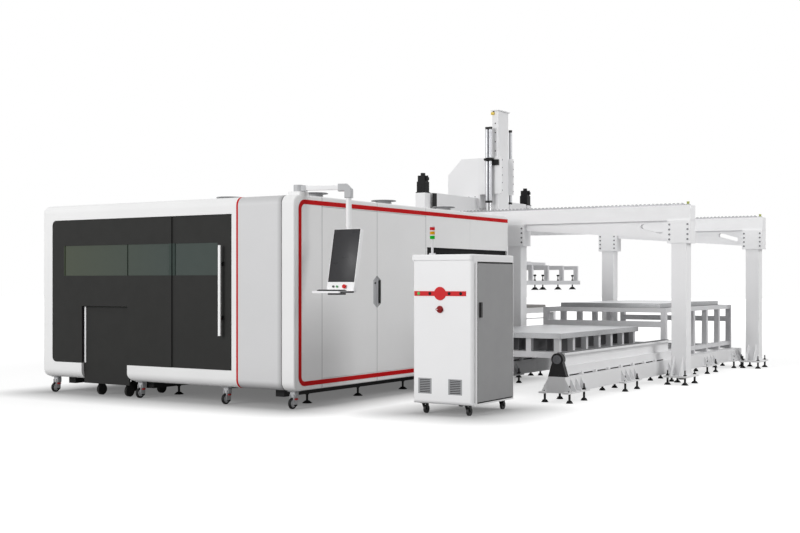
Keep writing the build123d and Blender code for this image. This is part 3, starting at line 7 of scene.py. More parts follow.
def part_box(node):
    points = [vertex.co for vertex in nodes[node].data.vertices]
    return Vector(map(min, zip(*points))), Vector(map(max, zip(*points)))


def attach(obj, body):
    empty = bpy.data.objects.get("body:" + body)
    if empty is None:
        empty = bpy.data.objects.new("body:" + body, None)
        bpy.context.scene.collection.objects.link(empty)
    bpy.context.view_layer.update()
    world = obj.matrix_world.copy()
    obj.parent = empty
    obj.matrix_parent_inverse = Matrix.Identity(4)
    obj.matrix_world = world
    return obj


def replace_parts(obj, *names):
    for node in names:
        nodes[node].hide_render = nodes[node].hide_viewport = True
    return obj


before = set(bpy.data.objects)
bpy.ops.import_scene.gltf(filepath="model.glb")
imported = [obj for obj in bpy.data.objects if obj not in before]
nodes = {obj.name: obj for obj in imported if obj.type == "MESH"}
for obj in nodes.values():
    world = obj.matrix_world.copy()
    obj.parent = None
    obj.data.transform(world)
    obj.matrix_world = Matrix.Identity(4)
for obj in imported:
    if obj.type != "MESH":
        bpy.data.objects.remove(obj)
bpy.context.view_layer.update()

# Enclosure covers: the long hood, the end cover and the side doors are folded steel sheet, welded at the
# corners, sprayed with white powder and baked. The imported solids keep their shapes and get the paint, with a
# thin grey line of painted shade where two sheets meet.
corner_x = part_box("end_cover")[1][0]
corner_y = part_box("front_hood")[0][1]
cover_white = (240, 240, 240)
seam_shade_grey = (150, 150, 152)
seam_half = 0.004
hood_seam_y = (1.310, 2.600, 3.890)
peel_depth = 0.0006


def at(x, y, z):
    """A point measured in metres from the enclosure's front right corner on the floor."""
    return Vector((corner_x + x, corner_y + y, z))


def tone(color):
    """A display colour from 0 to 255 as the linear colour that a shader takes."""
    linear = []
    for value in color:
        share = value / 255
        linear.append(share / 12.92 if share <= 0.04045 else ((share + 0.055) / 1.055) ** 2.4)
    return (*linear, 1.0)


def new_node(tree, kind, **settings):
    """A shader node with some of its settings made."""
    node = tree.nodes.new(kind)
    for key, value in settings.items():
        setattr(node, key, value)
    return node


def feed(tree, socket, value):
    """Links a value into a socket, or sets it there where it is a plain number."""
    if isinstance(value, bpy.types.NodeSocket):
        tree.links.new(value, socket)
    else:
        socket.default_value = value


def noise(tree, coordinates, scale, detail):
    """A noise over the piece's own coordinates."""
    node = new_node(tree, "ShaderNodeTexNoise")
    for label, value in (("Vector", coordinates), ("Scale", scale), ("Detail", detail)):
        feed(tree, node.inputs[label], value)
    return node.outputs["Fac"]


def spread(tree, value, from_low, from_high, to_low, to_high):
    """A value drawn out from one range to another and held at its ends."""
    node = new_node(tree, "ShaderNodeMapRange")
    labels = ("Value", "From Min", "From Max", "To Min", "To Max")
    for label, end in zip(labels, (value, from_low, from_high, to_low, to_high)):
        feed(tree, node.inputs[label], end)
    return node.outputs["Result"]


def combine(tree, operation, first, second):
    """Two values put together by one sum."""
    node = new_node(tree, "ShaderNodeMath", operation=operation)
    feed(tree, node.inputs[0], first)
    feed(tree, node.inputs[1], second)
    return node.outputs["Value"]


def between(tree, value, low, high):
    """One where a value lies between two ends, and nought elsewhere."""
    above = combine(tree, "GREATER_THAN", value, low)
    return combine(tree, "MULTIPLY", above, combine(tree, "LESS_THAN", value, high))


def mixed(tree, mask, first, second):
    """The first colour, and the second where the mask is one."""
    node = new_node(tree, "ShaderNodeMix", data_type="RGBA")
    for index, value in ((0, mask), (6, first), (7, second)):
        feed(tree, node.inputs[index], value)
    return node.outputs[2]


def scaled_color(tree, color, factor):
    """A colour made lighter or darker by a factor."""
    node = new_node(tree, "ShaderNodeVectorMath", operation="SCALE")
    tree.links.new(color, node.inputs[0])
    tree.links.new(factor, node.inputs["Scale"])
    return node.outputs["Vector"]


def axes(tree):
    """The piece's own coordinates, whole and split into X, Y and Z."""
    place = new_node(tree, "ShaderNodeTexCoord").outputs["Object"]
    split = new_node(tree, "ShaderNodeSeparateXYZ")
    tree.links.new(place, split.inputs["Vector"])
    return place, split.outputs


def open_group(name, last_label, last_kind):
    """An empty shader group for a finish, with its two end nodes."""
    group = bpy.data.node_groups.new(name, "ShaderNodeTree")
    color, value = "NodeSocketColor", "NodeSocketFloat"
    for label, kind in (("Color", color), ("Roughness", value), (last_label, last_kind)):
        group.interface.new_socket(label, in_out="INPUT", socket_type=kind)
    for label, kind in (("Color", color), ("Roughness", value), ("Height", value)):
        group.interface.new_socket(label, in_out="OUTPUT", socket_type=kind)
    return group, group.nodes.new("NodeGroupInput"), group.nodes.new("NodeGroupOutput")


def close_group(group, start, end, factor, haze, height):
    """Links the varied colour, gloss and height out of a finish group."""
    group.links.new(scaled_color(group, start.outputs["Color"], factor), end.inputs["Color"])
    group.links.new(combine(group, "ADD", start.outputs["Roughness"], haze), end.inputs["Roughness"])
    group.links.new(height, end.inputs["Height"])
    return group


def sprayed_coat_group():
    """Powder paint: a slow drift of tone, colour a little darker towards the bottom, a fine peel and uneven
    gloss.
    """
    group, start, end = open_group("sprayed_coat", "Drift", "NodeSocketFloat")
    place, split = axes(group)
    drift_low = combine(group, "SUBTRACT", 1.0, start.outputs["Drift"])
    drift = spread(group, noise(group, place, 1.1, 3.0), 0.3, 0.7, drift_low, 1.0)
    # Colour darkened a little towards the bottom, within 0.45 m of the floor.
    low_darkening = spread(group, split["Z"], 0.0, 0.45, 0.93, 1.0)
    haze = spread(group, noise(group, place, 7.0, 4.0), 0.3, 0.7, -0.05, 0.07)
    factor = combine(group, "MULTIPLY", drift, low_darkening)
    return close_group(group, start, end, factor, haze, noise(group, place, 420.0, 1.0))


sprayed_coat = sprayed_coat_group()


def new_material(name, specular=0.5):
    """A new material with its node tree and its shader."""
    material = bpy.data.materials.new(name)
    material.use_nodes = True
    tree = material.node_tree
    shader = tree.nodes["Principled BSDF"]
    shader.inputs["Specular IOR Level"].default_value = specular
    return material, tree, shader


def coated(tree, shader, color, roughness, drift):
    """Sets the powder coat's colour and gloss on a shader, and hands back the coat."""
    coat = new_node(tree, "ShaderNodeGroup", node_tree=sprayed_coat)
    for label, value in (("Color", color), ("Roughness", roughness), ("Drift", drift)):
        feed(tree, coat.inputs[label], value)
    tree.links.new(coat.outputs["Color"], shader.inputs["Base Color"])
    tree.links.new(coat.outputs["Roughness"], shader.inputs["Roughness"])
    return coat


def raised(tree, shader, height, strength, depth):
    """A fine relief on a surface."""
    bump = new_node(tree, "ShaderNodeBump")
    for label, value in (("Height", height), ("Strength", strength), ("Distance", depth)):
        feed(tree, bump.inputs[label], value)
    tree.links.new(bump.outputs["Normal"], shader.inputs["Normal"])


def sprayed(name, color, roughness=0.42, drift=0.03, peel=0.12, specular=0.4):
    """Painted or moulded surface of one colour."""
    material, tree, shader = new_material(name, specular)
    coat = coated(tree, shader, tone(color), roughness, drift)
    raised(tree, shader, coat.outputs["Height"], peel, peel_depth)
    return material


def banded(name, color, band_color, bands, axis="Z", roughness=0.42, metal=False):
    """Two finishes on one piece, the second where one coordinate lies in a band."""
    material, tree, shader = new_material(name, specular=0.4)
    split = axes(tree)[1]
    mask = 0.0
    for low, high in bands:
        mask = combine(tree, "MAXIMUM", between(tree, split[axis], low, high), mask)
    coated(tree, shader, mixed(tree, mask, tone(color), tone(band_color)), roughness, drift=0.04)
    if metal:
        tree.links.new(combine(tree, "SUBTRACT", 1.0, mask), shader.inputs["Metallic"])
    return material


def seam_bands(places):
    """A narrow band of painted shade at each seam."""
    return [(place - seam_half, place + seam_half) for place in places]


def paint(material, *names):
    """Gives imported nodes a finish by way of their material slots."""
    for name in names:
        for slot in nodes[name].material_slots:
            slot.material = material


cover_paint = sprayed("cover_paint", cover_white)
# Painted shade: a thin grey line along the seams of the hood, the end cover and the side doors.
hood_seams = seam_bands([at(0.0, y, 0.0).y for y in hood_seam_y])
paint(banded("hood_paint", cover_white, seam_shade_grey, hood_seams, axis="Y"), "front_hood")
front_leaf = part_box("side_door_front")
rear_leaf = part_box("side_door_rear")
side_seams = seam_bands((front_leaf[0][1], front_leaf[1][1], rear_leaf[1][1]))
side_paint = banded("side_paint", cover_white, seam_shade_grey, side_seams, axis="Y")
paint(side_paint, "end_cover", "side_door_front", "side_door_rear")

# Middle cover: a bent steel ring between the hood and the end cover, sprayed in a light grey.
# It bolts to both from inside, so no fastener shows. Its colour is darkened towards its joint and its two
# folds, a painted shade.
middle_grey = (214, 214, 215)
joint_width = 0.060
fold_width = 0.090
joint_shade = 0.62
low_fold_shade = 0.6
high_fold_shade = 0.78
middle_low, middle_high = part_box("middle_cover")
middle_paint = sprayed("middle_paint", middle_grey)
tree = middle_paint.node_tree
split = axes(tree)[1]
# Painted shade: darker near the joint with the end cover and along the top and bottom folds.
shade = spread(tree, split["X"], middle_high[0] - joint_width, middle_high[0], 1.0, joint_shade)
low_fold = spread(tree, split["Z"], middle_low[2], middle_low[2] + fold_width, low_fold_shade, 1.0)
high_fold = spread(tree, split["Z"], middle_high[2] - fold_width, middle_high[2], 1.0, high_fold_shade)
for fold in (low_fold, high_fold):
    shade = combine(tree, "MULTIPLY", shade, fold)
base_color = tree.nodes["Principled BSDF"].inputs["Base Color"]
tree.links.new(scaled_color(tree, base_color.links[0].from_socket, shade), base_color)
paint(middle_paint, "middle_cover")

# Red trim: the thin seam strip between the covers and the stripe round the side doors are rolled steel strip,
# sprayed in gloss red and pressed on. The seam strip is drawn out to its full width.
trim_red = (196, 14, 18)
seam_width = 0.024
seam_proud = 0.0015
merge_distance = 0.00001
trim_paint = sprayed("trim_paint", trim_red, roughness=0.5, peel=0.06, specular=0.08)
paint(trim_paint, "seam_strip", "side_stripe")


def clear_hands():
    """Nothing stays selected, so that the next operator works on the new piece alone."""
    bpy.ops.object.select_all(action="DESELECT")


def open_mesh():
    """Opens the piece at hand for editing, with all of it selected."""
    bpy.ops.object.mode_set(mode="EDIT")
    bpy.ops.mesh.select_all(action="SELECT")


def dress(piece, material, body="machine"):
    """Gives a new piece its finish and sets it on the body that carries it."""
    piece.data.materials.clear()
    piece.data.materials.append(material)
    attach(piece, body)
    return piece


seam_low, seam_high = [Vector(corner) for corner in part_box("seam_strip")]
seam = bpy.data.objects.new("seam_cover", nodes["seam_strip"].data.copy())
bpy.context.collection.objects.link(seam)
seam.data.transform(nodes["seam_strip"].matrix_world)
clear_hands()
seam.select_set(True)
bpy.context.view_layer.objects.active = seam
open_mesh()
bpy.ops.mesh.remove_doubles(threshold=merge_distance)
seam_size = seam_high - seam_low
growth = (seam_width / seam_size.x, 1.0 + 2 * seam_proud / seam_size.y, 1.0 + 2 * seam_proud / seam_size.z)
bpy.ops.transform.resize(value=growth, center_override=(seam_low + seam_high) / 2)
bpy.ops.object.mode_set(mode="OBJECT")
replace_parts(dress(seam, trim_paint), "seam_strip")

# Black front: the fixed panel, the sliding door and the scrap cart's plate are folded steel sheet with a fine
# satin black coat. The panel over the rear bay is the same sheet in a deeper black. A white strip edges the
# cart's plate.
panel_black = (44, 44, 43)
bay_black = (22, 22, 23)
window_green = (57, 67, 63)
window_warm = (65, 72, 58)
edge_white = (236, 236, 237)
smoked_room = 0.012
door_overlap = 0.1
edge_width = 0.030
edge_bottom = 0.402
edge_inset = 0.002
edge_proud = 0.003
edge_drop = 0.004
edge_round = 0.002
smooth_angle = math.radians(40.0)


def satin_black(name):
    """The front's fine satin coat."""
    return sprayed(name, panel_black, roughness=0.55, drift=0.05, peel=0.08, specular=0.12)


def window_tint(tree, split):
    """The windows' tint, which drifts along the front."""
    low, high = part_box("fixed_windows")
    drift = spread(tree, split["X"], low[0], high[0], 1.0, 0.0)
    return mixed(tree, drift, tone(window_green), tone(window_warm))


def smoked_panel(name, left, right):
    """Satin black with a smoked band at the windows' height."""
    material = satin_black(name)
    tree = material.node_tree
    split = axes(tree)[1]
    low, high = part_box("fixed_windows")
    across = between(tree, split["X"], left, right)
    band = combine(tree, "MULTIPLY", across, between(tree, split["Z"], low[2], high[2]))
    color = tree.nodes["Principled BSDF"].inputs["Base Color"]
    tree.links.new(mixed(tree, band, color.links[0].from_socket, window_tint(tree, split)), color)
    return material


def taken_in(name, scale=(1.0, 1.0, 1.0)):
    """The new primitive, named, with its place and size taken into its mesh."""
    piece = bpy.context.object
    piece.name = name
    piece.scale = scale
    bpy.ops.object.transform_apply(location=True, rotation=True, scale=True)
    return piece


def close_mesh():
    """Closes the piece at hand and shades it smooth between its sharp edges."""
    bpy.ops.object.mode_set(mode="OBJECT")
    bpy.ops.object.shade_smooth_by_angle(angle=smooth_angle)


def new_block(name, low, high, edge, rounds=2):
    """A block between two corners, with its edges rounded."""
    low, high = Vector(low), Vector(high)
    clear_hands()
    bpy.ops.mesh.primitive_cube_add(size=1.0, location=(low + high) / 2)
    piece = taken_in(name, high - low)
    open_mesh()
    bpy.ops.mesh.bevel(offset=edge, offset_type="OFFSET", segments=rounds, affect="EDGES")
    close_mesh()
    return piece


paint(satin_black("panel_paint"), "scrap_cart")
pane_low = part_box("fixed_windows")[0]
door_low, door_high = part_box("front_door")
door_pane_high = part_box("door_window")[1]
paint(smoked_panel("fixed_panel_paint", pane_low[0] - smoked_room, door_high[0]), "front_fixed_panel")
paint(smoked_panel("door_paint", door_low[0] - door_overlap, door_pane_high[0]), "front_door")
paint(sprayed("bay_paint", bay_black, roughness=0.6, drift=0.08, specular=0.08), "rear_bay_panel")
cart_low, cart_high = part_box("scrap_cart")
edge_low = (cart_low[0] + edge_inset, cart_low[1] - edge_proud, edge_bottom)
edge_high = (cart_low[0] + edge_width, cart_low[1] + edge_inset, cart_high[2] - edge_drop)
edge_paint = sprayed("cart_edge_paint", edge_white, roughness=0.35)
dress(new_block("cart_edge", edge_low, edge_high, edge_round), edge_paint, "scrap_cart")

# Windows: laser-safe panes of tinted acrylic, seated in the fixed panel and in the door.
# Seen from outside they are a dark grey-green with a soft gloss and faint wiping marks.
window_paint, tree, shader = new_material("window_tint", specular=0.3)
place, split = axes(tree)
tree.links.new(window_tint(tree, split), shader.inputs["Base Color"])
wiping = spread(tree, noise(tree, place, 12.0, 3.0), 0.3, 0.7, 0.16, 0.26)
tree.links.new(wiping, shader.inputs["Roughness"])
paint(window_paint, "fixed_windows", "door_window")

# Door handle: a long flat bar of extruded aluminium, sprayed white, on two black posts.
# The posts are bolted from behind the door, so no screw shows.
handle_white = (252, 252, 252)
post_black = (24, 24, 25)
bar_depth = 0.0225
post_room = 0.2
bar_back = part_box("door_handle")[0][1] + bar_depth
posts = ((bar_back, bar_back + post_room),)
paint(banded("handle_paint", handle_white, post_black, posts, axis="Y", roughness=0.3), "door_handle")

# Door pull: the recess that the two side doors share is lined with a moulded cup, split where the doors part.
# Both halves are light grey, the front one with a small lock and the rear one with a soft black finger lip,
# whose black also stands in for the shade on the cup's rear wall.
pull_middle_y = 1.652
pull_middle_z = 1.283
pull_half_height = 0.199
pull_half_width = 0.085
pull_taper = 0.060
pull_floor = -0.0218
cup_thickness = 0.007
cup_room = 0.003
cup_edge = 0.004
lock_radius = 0.012
lock_rise = 0.105
lock_aside = 0.022
lip_width = 0.034
lip_face = -0.002
lip_edge = 0.005
to_right = (1.0, 0.0, 0.0)


def pick(piece, wanted):
    """Selects a piece's corners by their place, for the next operator."""
    bpy.ops.object.mode_set(mode="OBJECT")
    for edge in piece.data.edges:
        edge.select = False
    for face in piece.data.polygons:
        face.select = False
    for vertex in piece.data.vertices:
        vertex.select = wanted(vertex.co)
    bpy.ops.object.mode_set(mode="EDIT")


def new_turned(name, rings, foot=(0.0, 0.0, 0.0), along=(0.0, 0.0, 1.0), sides=24):
    """A turned piece: a disc drawn out ring by ring, from (radius, height) pairs, then set on its foot."""
    clear_hands()
    radius, height = rings[0]
    middle = (0.0, 0.0, height)
    bpy.ops.mesh.primitive_circle_add(vertices=sides, radius=radius, fill_type="NGON", location=middle)
    piece = taken_in(name)
    open_mesh()
    for next_radius, next_height in rings[1:]:
        step = (0.0, 0.0, next_height - height)
        bpy.ops.mesh.extrude_region_move(TRANSFORM_OT_translate={"value": step})
        share = next_radius / radius
        bpy.ops.transform.resize(value=(share, share, 1.0), center_override=(0.0, 0.0, next_height))
        radius, height = next_radius, next_height
    bpy.ops.mesh.select_all(action="SELECT")
    bpy.ops.mesh.normals_make_consistent(inside=False)
    close_mesh()
    turn = Vector((0.0, 0.0, 1.0)).rotation_difference(Vector(along)).to_matrix().to_4x4()
    piece.data.transform(Matrix.Translation(foot) @ turn)
    return piece


def joined(name, pieces):
    """Several pieces of one body and finish made one."""
    clear_hands()
    for piece in pieces:
        piece.select_set(True)
    bpy.context.view_layer.objects.active = pieces[0]
    if len(pieces) > 1:
        bpy.ops.object.join()
    pieces[0].name = name
    return pieces[0]


def copied(piece, matrix):
    """A copy of a piece with its own mesh, moved by a matrix."""
    copy = piece.copy()
    copy.data = piece.data.copy()
    copy.data.transform(matrix)
    bpy.context.collection.objects.link(copy)
    return copy


def copies(name, piece, places):
    """A piece that is modelled at the origin, copied to each place, and joined as one."""
    made = []
    for place in places:
        made.append(copied(piece, place if isinstance(place, Matrix) else Matrix.Translation(place)))
    bpy.data.objects.remove(piece)
    return joined(name, made)


def pull_cup(name, side):
    """Half of the hexagonal cup, cut back at its outer corners."""
    inner = pull_middle_y + side * cup_room
    outer = pull_middle_y + side * (pull_half_width - cup_room)
    middle = at(pull_floor + cup_thickness / 2, (inner + outer) / 2, pull_middle_z)
    clear_hands()
    bpy.ops.mesh.primitive_cube_add(size=1.0, location=middle)
    piece = taken_in(name, (cup_thickness, abs(outer - inner), (pull_half_height - cup_room) * 2))
    for end in (-1, 1):
        pick(piece, lambda co: (co.y - middle.y) * side > 0 and (co.z - middle.z) * end > 0)
        bpy.ops.transform.translate(value=(0.0, 0.0, -end * pull_taper))
    pick(piece, lambda co: co.x > middle.x)
    bpy.ops.mesh.bevel(offset=cup_edge, offset_type="OFFSET", segments=2, affect="EDGES")
    close_mesh()
    return piece


cup_grey = sprayed("cup_grey", (176, 177, 180), roughness=0.5)
soft_black = sprayed("soft_black", (16, 16, 17), roughness=0.65, drift=0.1, specular=0.25)
dress(pull_cup("pull_cup_front", -1), cup_grey, "side_door_front")
dress(pull_cup("pull_cup_rear", 1), cup_grey, "side_door_rear")
# Painted shade: the black lip also stands in for the shade on the cup's rear wall.
cup_face = pull_floor + cup_thickness
lip_back = pull_middle_y + pull_half_width - cup_room
lip_low = at(cup_face, lip_back - lip_width, pull_middle_z - pull_half_height + pull_taper)
lip_high = at(lip_face, lip_back, pull_middle_z + pull_half_height - pull_taper)
dress(new_block("pull_lip", lip_low, lip_high, lip_edge), soft_black, "side_door_rear")
lock_foot = at(cup_face, pull_middle_y - lock_aside, pull_middle_z + lock_rise)
lock_rings = ((lock_radius, 0.0), (lock_radius, 0.004), (lock_radius * 0.8, 0.006),
              (lock_radius * 0.3, 0.004))
lock = new_turned("pull_lock", lock_rings, lock_foot, along=to_right)
dress(lock, soft_black, "side_door_front")

# Rear service panels: two sheet steel lids on the hood's back, held by quarter-turn locks, one with louvres,
# and a plate below with the glands where cables can enter.
rear_face = 5.140
plate_sink = 0.001
plate_rise = 0.004
plate_edge = 0.002
plate_back = rear_face - plate_sink
plate_face = rear_face + plate_rise
lid_x = (-3.050, -1.750)
lid_z = 1.850
lid_half_x = 0.470
lid_half_z = 0.300
lock_inset = 0.050
louvre_count = 9
louvre_first = 1.700
louvre_pitch = 0.034
louvre_half = Vector((0.260, 0.012, 0.003))
louvre_proud = 0.006
louvre_tilt = math.radians(40.0)
gland_x = (-3.680, -3.580, -3.480)
gland_z = 0.600
gland_room_x = 0.100
gland_room_z = 0.080
to_back = (0.0, 1.0, 0.0)


def four_ways(first, second):
    """Two offsets with both of their signs, as four pairs."""
    return [(across * first, along * second) for across in (-1, 1) for along in (-1, 1)]


def rear_plate(name, low_x, high_x, low_z, high_z):
    """A thin plate on the hood's back."""
    return new_block(name, at(low_x, plate_back, low_z), at(high_x, plate_face, high_z), plate_edge)


service_lids = []
lock_places = []
for x in lid_x:
    lid = rear_plate("service_lid", x - lid_half_x, x + lid_half_x, lid_z - lid_half_z, lid_z + lid_half_z)
    service_lids.append(lid)
    for across, up in four_ways(lid_half_x - lock_inset, lid_half_z - lock_inset):
        lock_places.append(at(x + across, plate_face, lid_z + up))
dress(joined("service_lids", service_lids), cover_paint)
turn_rings = ((0.018, -0.001), (0.018, 0.004), (0.015, 0.006), (0.006, 0.006), (0.005, 0.003))
quarter_turn = new_turned("quarter_turn", turn_rings, along=to_back, sides=16)
dress(copies("service_locks", quarter_turn, lock_places), soft_black)
louvre = new_block("louvre", -louvre_half, louvre_half, plate_edge)
louvre.data.transform(Matrix.Rotation(louvre_tilt, 4, "X"))
louvre_places = []
for step in range(louvre_count):
    louvre_places.append(at(lid_x[1], plate_face + louvre_proud, louvre_first + louvre_pitch * step))
dress(copies("service_louvres", louvre, louvre_places), cup_grey)
gland_low = gland_x[0] - gland_room_x
gland_high = gland_x[-1] + gland_room_x
gland_plate = rear_plate("gland_plate", gland_low, gland_high, gland_z - gland_room_z, gland_z + gland_room_z)
dress(gland_plate, cup_grey)
entry_rings = ((0.030, 0.0), (0.030, 0.012), (0.024, 0.016), (0.024, 0.034), (0.016, 0.038), (0.012, 0.026))
entry = new_turned("cable_gland", entry_rings, along=to_back, sides=12)
entry_places = [at(x, plate_face - plate_sink, gland_z) for x in gland_x]
dress(copies("cable_glands", entry, entry_places), soft_black)

# Base frame and feet: welded steel channel under the covers, brushed with matt black primer, on cone feet
# with threaded studs and lock nuts.
frame_black = (24, 24, 25)
nut_radius = 0.024
nut_waist = nut_radius * 0.9
nut_height = 0.016
nut_chamfer = 0.002
foot_beam_bottom = 0.115
foot_x = (-3.700, -2.350, -0.360)
foot_rows = 5
foot_start = 0.720
foot_pitch = 1.045
base_paint = sprayed("base_paint", frame_black, roughness=0.6, drift=0.15, specular=0.25)
paint(base_paint, "base_frame", "enclosure_feet", "loader_feet", "rail_feet")
foot_places = []
for x in foot_x:
    for row in range(foot_rows):
        foot_places.append(at(x, foot_start + foot_pitch * row, foot_beam_bottom - nut_height))
nut_rings = ((nut_waist, 0.0), (nut_radius, nut_chamfer), (nut_radius, nut_height - nut_chamfer),
             (nut_waist, nut_height))
nut = new_turned("foot_nut", nut_rings, sides=6)
dress(copies("enclosure_foot_nuts", nut, foot_places), base_paint)

# Levelling casters: a cast grey body on a bolted plate, with a black nylon wheel and a red wheel-shaped nut
# that winds the rubber pad down.
caster_x = (3.900, 2.420, 1.070, 0.110)
caster_y = (0.150, 4.990)
caster_top = 0.203
caster_plate = 0.110
caster_plate_thickness = 0.010
caster_body = 0.074
caster_wheel = 0.062
caster_wheel_width = 0.034
caster_trail = 0.034
fork_inset = 0.002
fork_thickness = 0.008
fork_half = 0.016
fork_room = 0.010
fork_drop = 0.030
knob_radius = 0.044
knob_drop = 0.022
pad_lift = 0.030
groove_depth = 0.006
caster_edge = 0.003
body_edge = 0.012
caster_places = [at(-x, y, 0.0) for x in caster_x for y in caster_y]
half = caster_plate / 2
body_top = caster_top - caster_plate_thickness
plate = new_block("caster_plate", (-half, -half, body_top), (half, half, caster_top), caster_edge)
half = caster_body / 2
body_bottom = body_top - caster_body
body = new_block("caster_body", (-half, -half, body_bottom), (half, half, body_top), body_edge, rounds=3)
rim = caster_wheel_width / 2
fork_low = Vector((rim + fork_inset, -caster_trail - fork_half, caster_wheel - fork_half))
fork_high = Vector((rim + fork_inset + fork_thickness, half - fork_room, body_top - fork_drop))
fork = new_block("caster_fork", fork_low, fork_high, caster_edge)
mirror = copied(fork, Matrix.Translation((-fork_low.x - fork_high.x, 0.0, 0.0)))
axle = (0.0, -caster_trail, caster_wheel)
hub_rings = ((0.010, -0.019), (0.040, -0.018), (0.044, -0.014), (0.044, 0.014), (0.040, 0.018),
             (0.010, 0.019))
hub = new_turned("caster_hub", hub_rings, axle, along=to_right)
holder = joined("caster_body", [body, plate, fork, mirror, hub])
caster_grey = sprayed("caster_grey", (188, 189, 191), roughness=0.45, drift=0.08)
casters = dress(copies("enclosure_caster_bodies", holder, caster_places), caster_grey)
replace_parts(casters, "enclosure_casters")
groove = rim - groove_depth
wheel_rings = (
    (0.020, -rim), (0.030, -rim), (0.034, -groove), (0.048, -groove), (0.052, -rim), (0.058, -rim),
    (caster_wheel, -groove), (caster_wheel, groove), (0.058, rim), (0.052, rim), (0.048, groove),
    (0.034, groove), (0.030, rim), (0.020, rim),
)
wheel = new_turned("caster_wheel", wheel_rings, axle, along=to_right, sides=32)
dress(copies("enclosure_caster_wheels", wheel, caster_places), soft_black)
knob_low = body_bottom - knob_drop
knob_rings = ((knob_radius * 0.7, 0.0), (knob_radius, 0.004), (knob_radius, 0.016),
              (knob_radius * 0.8, 0.020))
knob = new_turned("caster_knob", knob_rings, (0.0, 0.0, knob_low), sides=12)
caster_red = sprayed("caster_red", (186, 30, 28), roughness=0.45)
dress(copies("enclosure_caster_knobs", knob, caster_places), caster_red)
pad_rings = ((0.030, 0.0), (0.034, 0.006), (0.034, 0.014), (0.018, 0.020), (0.012, 0.022),
             (0.012, knob_low - pad_lift))
pad = new_turned("caster_pad", pad_rings, (0.0, 0.0, pad_lift), sides=16)
dress(copies("enclosure_caster_pads", pad, caster_places), soft_black)

# Roof vents: a short light grey neck with two beads under a thin spun cap, all of steel sheet.
# The neck is flanged to the roof, and the cap is welded to it.
neck_grey = (196, 196, 198)
cap_grey = (138, 139, 141)
vent_x = (0.380, 1.675)
vent_y = (0.890, 2.380, 3.910)
vent_neck = 0.100
vent_bead = 0.105
vent_flange = 0.116
vent_cap = 0.160
vent_cap_gap = 0.018
vent_low, vent_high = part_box("roof_vents")
vent_rise = vent_high[2] - vent_low[2]
neck_top = vent_rise - vent_cap_gap
neck_rings = (
    (vent_flange, 0.0), (vent_flange, 0.008), (vent_neck, 0.010), (vent_neck, 0.024), (vent_bead, 0.027),
    (vent_neck, 0.030), (vent_neck, 0.044), (vent_bead, 0.047), (vent_neck, 0.050), (vent_neck, neck_top),
)
cap_rings = (
    (0.090, neck_top), (0.150, vent_rise - 0.016), (vent_cap, vent_rise - 0.018),
    (vent_cap, vent_rise - 0.010), (0.152, vent_rise - 0.006), (0.050, vent_rise),
)
vent_places = [at(-x, y, vent_low[2]) for x in vent_x for y in vent_y]
neck = new_turned("vent_neck", neck_rings, sides=40)
neck = dress(copies("vent_necks", neck, vent_places), sprayed("neck_paint", neck_grey))
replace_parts(neck, "roof_vents")
cap = new_turned("vent_cap", cap_rings, sides=48)
cap = dress(copies("vent_caps", cap, vent_places), sprayed("cap_paint", cap_grey))
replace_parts(cap, "roof_vents")

# Cutting bed: welded box sections with a hammered grey coat, under the covers on the base frame.
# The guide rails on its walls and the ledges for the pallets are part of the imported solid.
bed_grey = (150, 152, 156)
paint(sprayed("bed_paint", bed_grey, roughness=0.5, drift=0.08, peel=0.3), "machine_bed")

# Pallets: slatted frames of flame-cut mild steel that carry the sheet, grey from use.
# They roll on the bed's ledges, one over the other.
pallet_grey = (150, 148, 146)
line_depth = 0.0003


def drawn_metal_group():
    """Bare rolled metal: fine lines along the rolling direction, with slow changes of tone and gloss."""
    group, start, end = open_group("drawn_metal", "Stretch", "NodeSocketVector")
    place = axes(group)[0]
    stretch = new_node(group, "ShaderNodeVectorMath", operation="MULTIPLY")
    group.links.new(place, stretch.inputs[0])
    group.links.new(start.outputs["Stretch"], stretch.inputs[1])
    lines = noise(group, stretch.outputs["Vector"], 60.0, 4.0)
    line_tone = spread(group, lines, 0.3, 0.7, 0.92, 1.04)
    cloud_tone = spread(group, noise(group, place, 1.6, 3.0), 0.3, 0.7, 0.9, 1.04)
    haze = spread(group, lines, 0.3, 0.7, -0.06, 0.08)
    factor = combine(group, "MULTIPLY", line_tone, cloud_tone)
    return close_group(group, start, end, factor, haze, lines)


drawn_metal = drawn_metal_group()


def bare_metal(name, color, roughness=0.35, stretch=(1.0, 0.03, 1.0), depth=0.2, layer=0.0):
    """Unpainted metal with its rolling lines; where a layer height is given, a stack's sides get a painted
    shade, darkest at the joints between sheets.
    """
    material, tree, shader = new_material(name)
    shader.inputs["Metallic"].default_value = 1.0
    lines = new_node(tree, "ShaderNodeGroup", node_tree=drawn_metal)
    for label, value in (("Color", tone(color)), ("Roughness", roughness), ("Stretch", stretch)):
        lines.inputs[label].default_value = value
    metal = lines.outputs["Color"]
    if layer:
        split = axes(tree)[1]
        # Painted shade: the stack's sides are darkened, most at the gaps between sheets; top and bottom faces
        # stay as they are.
        step = combine(tree, "FRACT", combine(tree, "DIVIDE", split["Z"], layer), 0.0)
        painted_layer_shade = spread(tree, combine(tree, "LESS_THAN", step, 0.25), 0.0, 1.0, 0.66, 0.34)
        facing = new_node(tree, "ShaderNodeNewGeometry")
        sides = new_node(tree, "ShaderNodeSeparateXYZ")
        tree.links.new(facing.outputs["Normal"], sides.inputs[0])
        flat = combine(tree, "GREATER_THAN", combine(tree, "ABSOLUTE", sides.outputs["Z"], 0.0), 0.5)
        metal = scaled_color(tree, metal, combine(tree, "MAXIMUM", painted_layer_shade, flat))
    tree.links.new(metal, shader.inputs["Base Color"])
    tree.links.new(lines.outputs["Roughness"], shader.inputs["Roughness"])
    raised(tree, shader, lines.outputs["Height"], depth, line_depth)
    return material


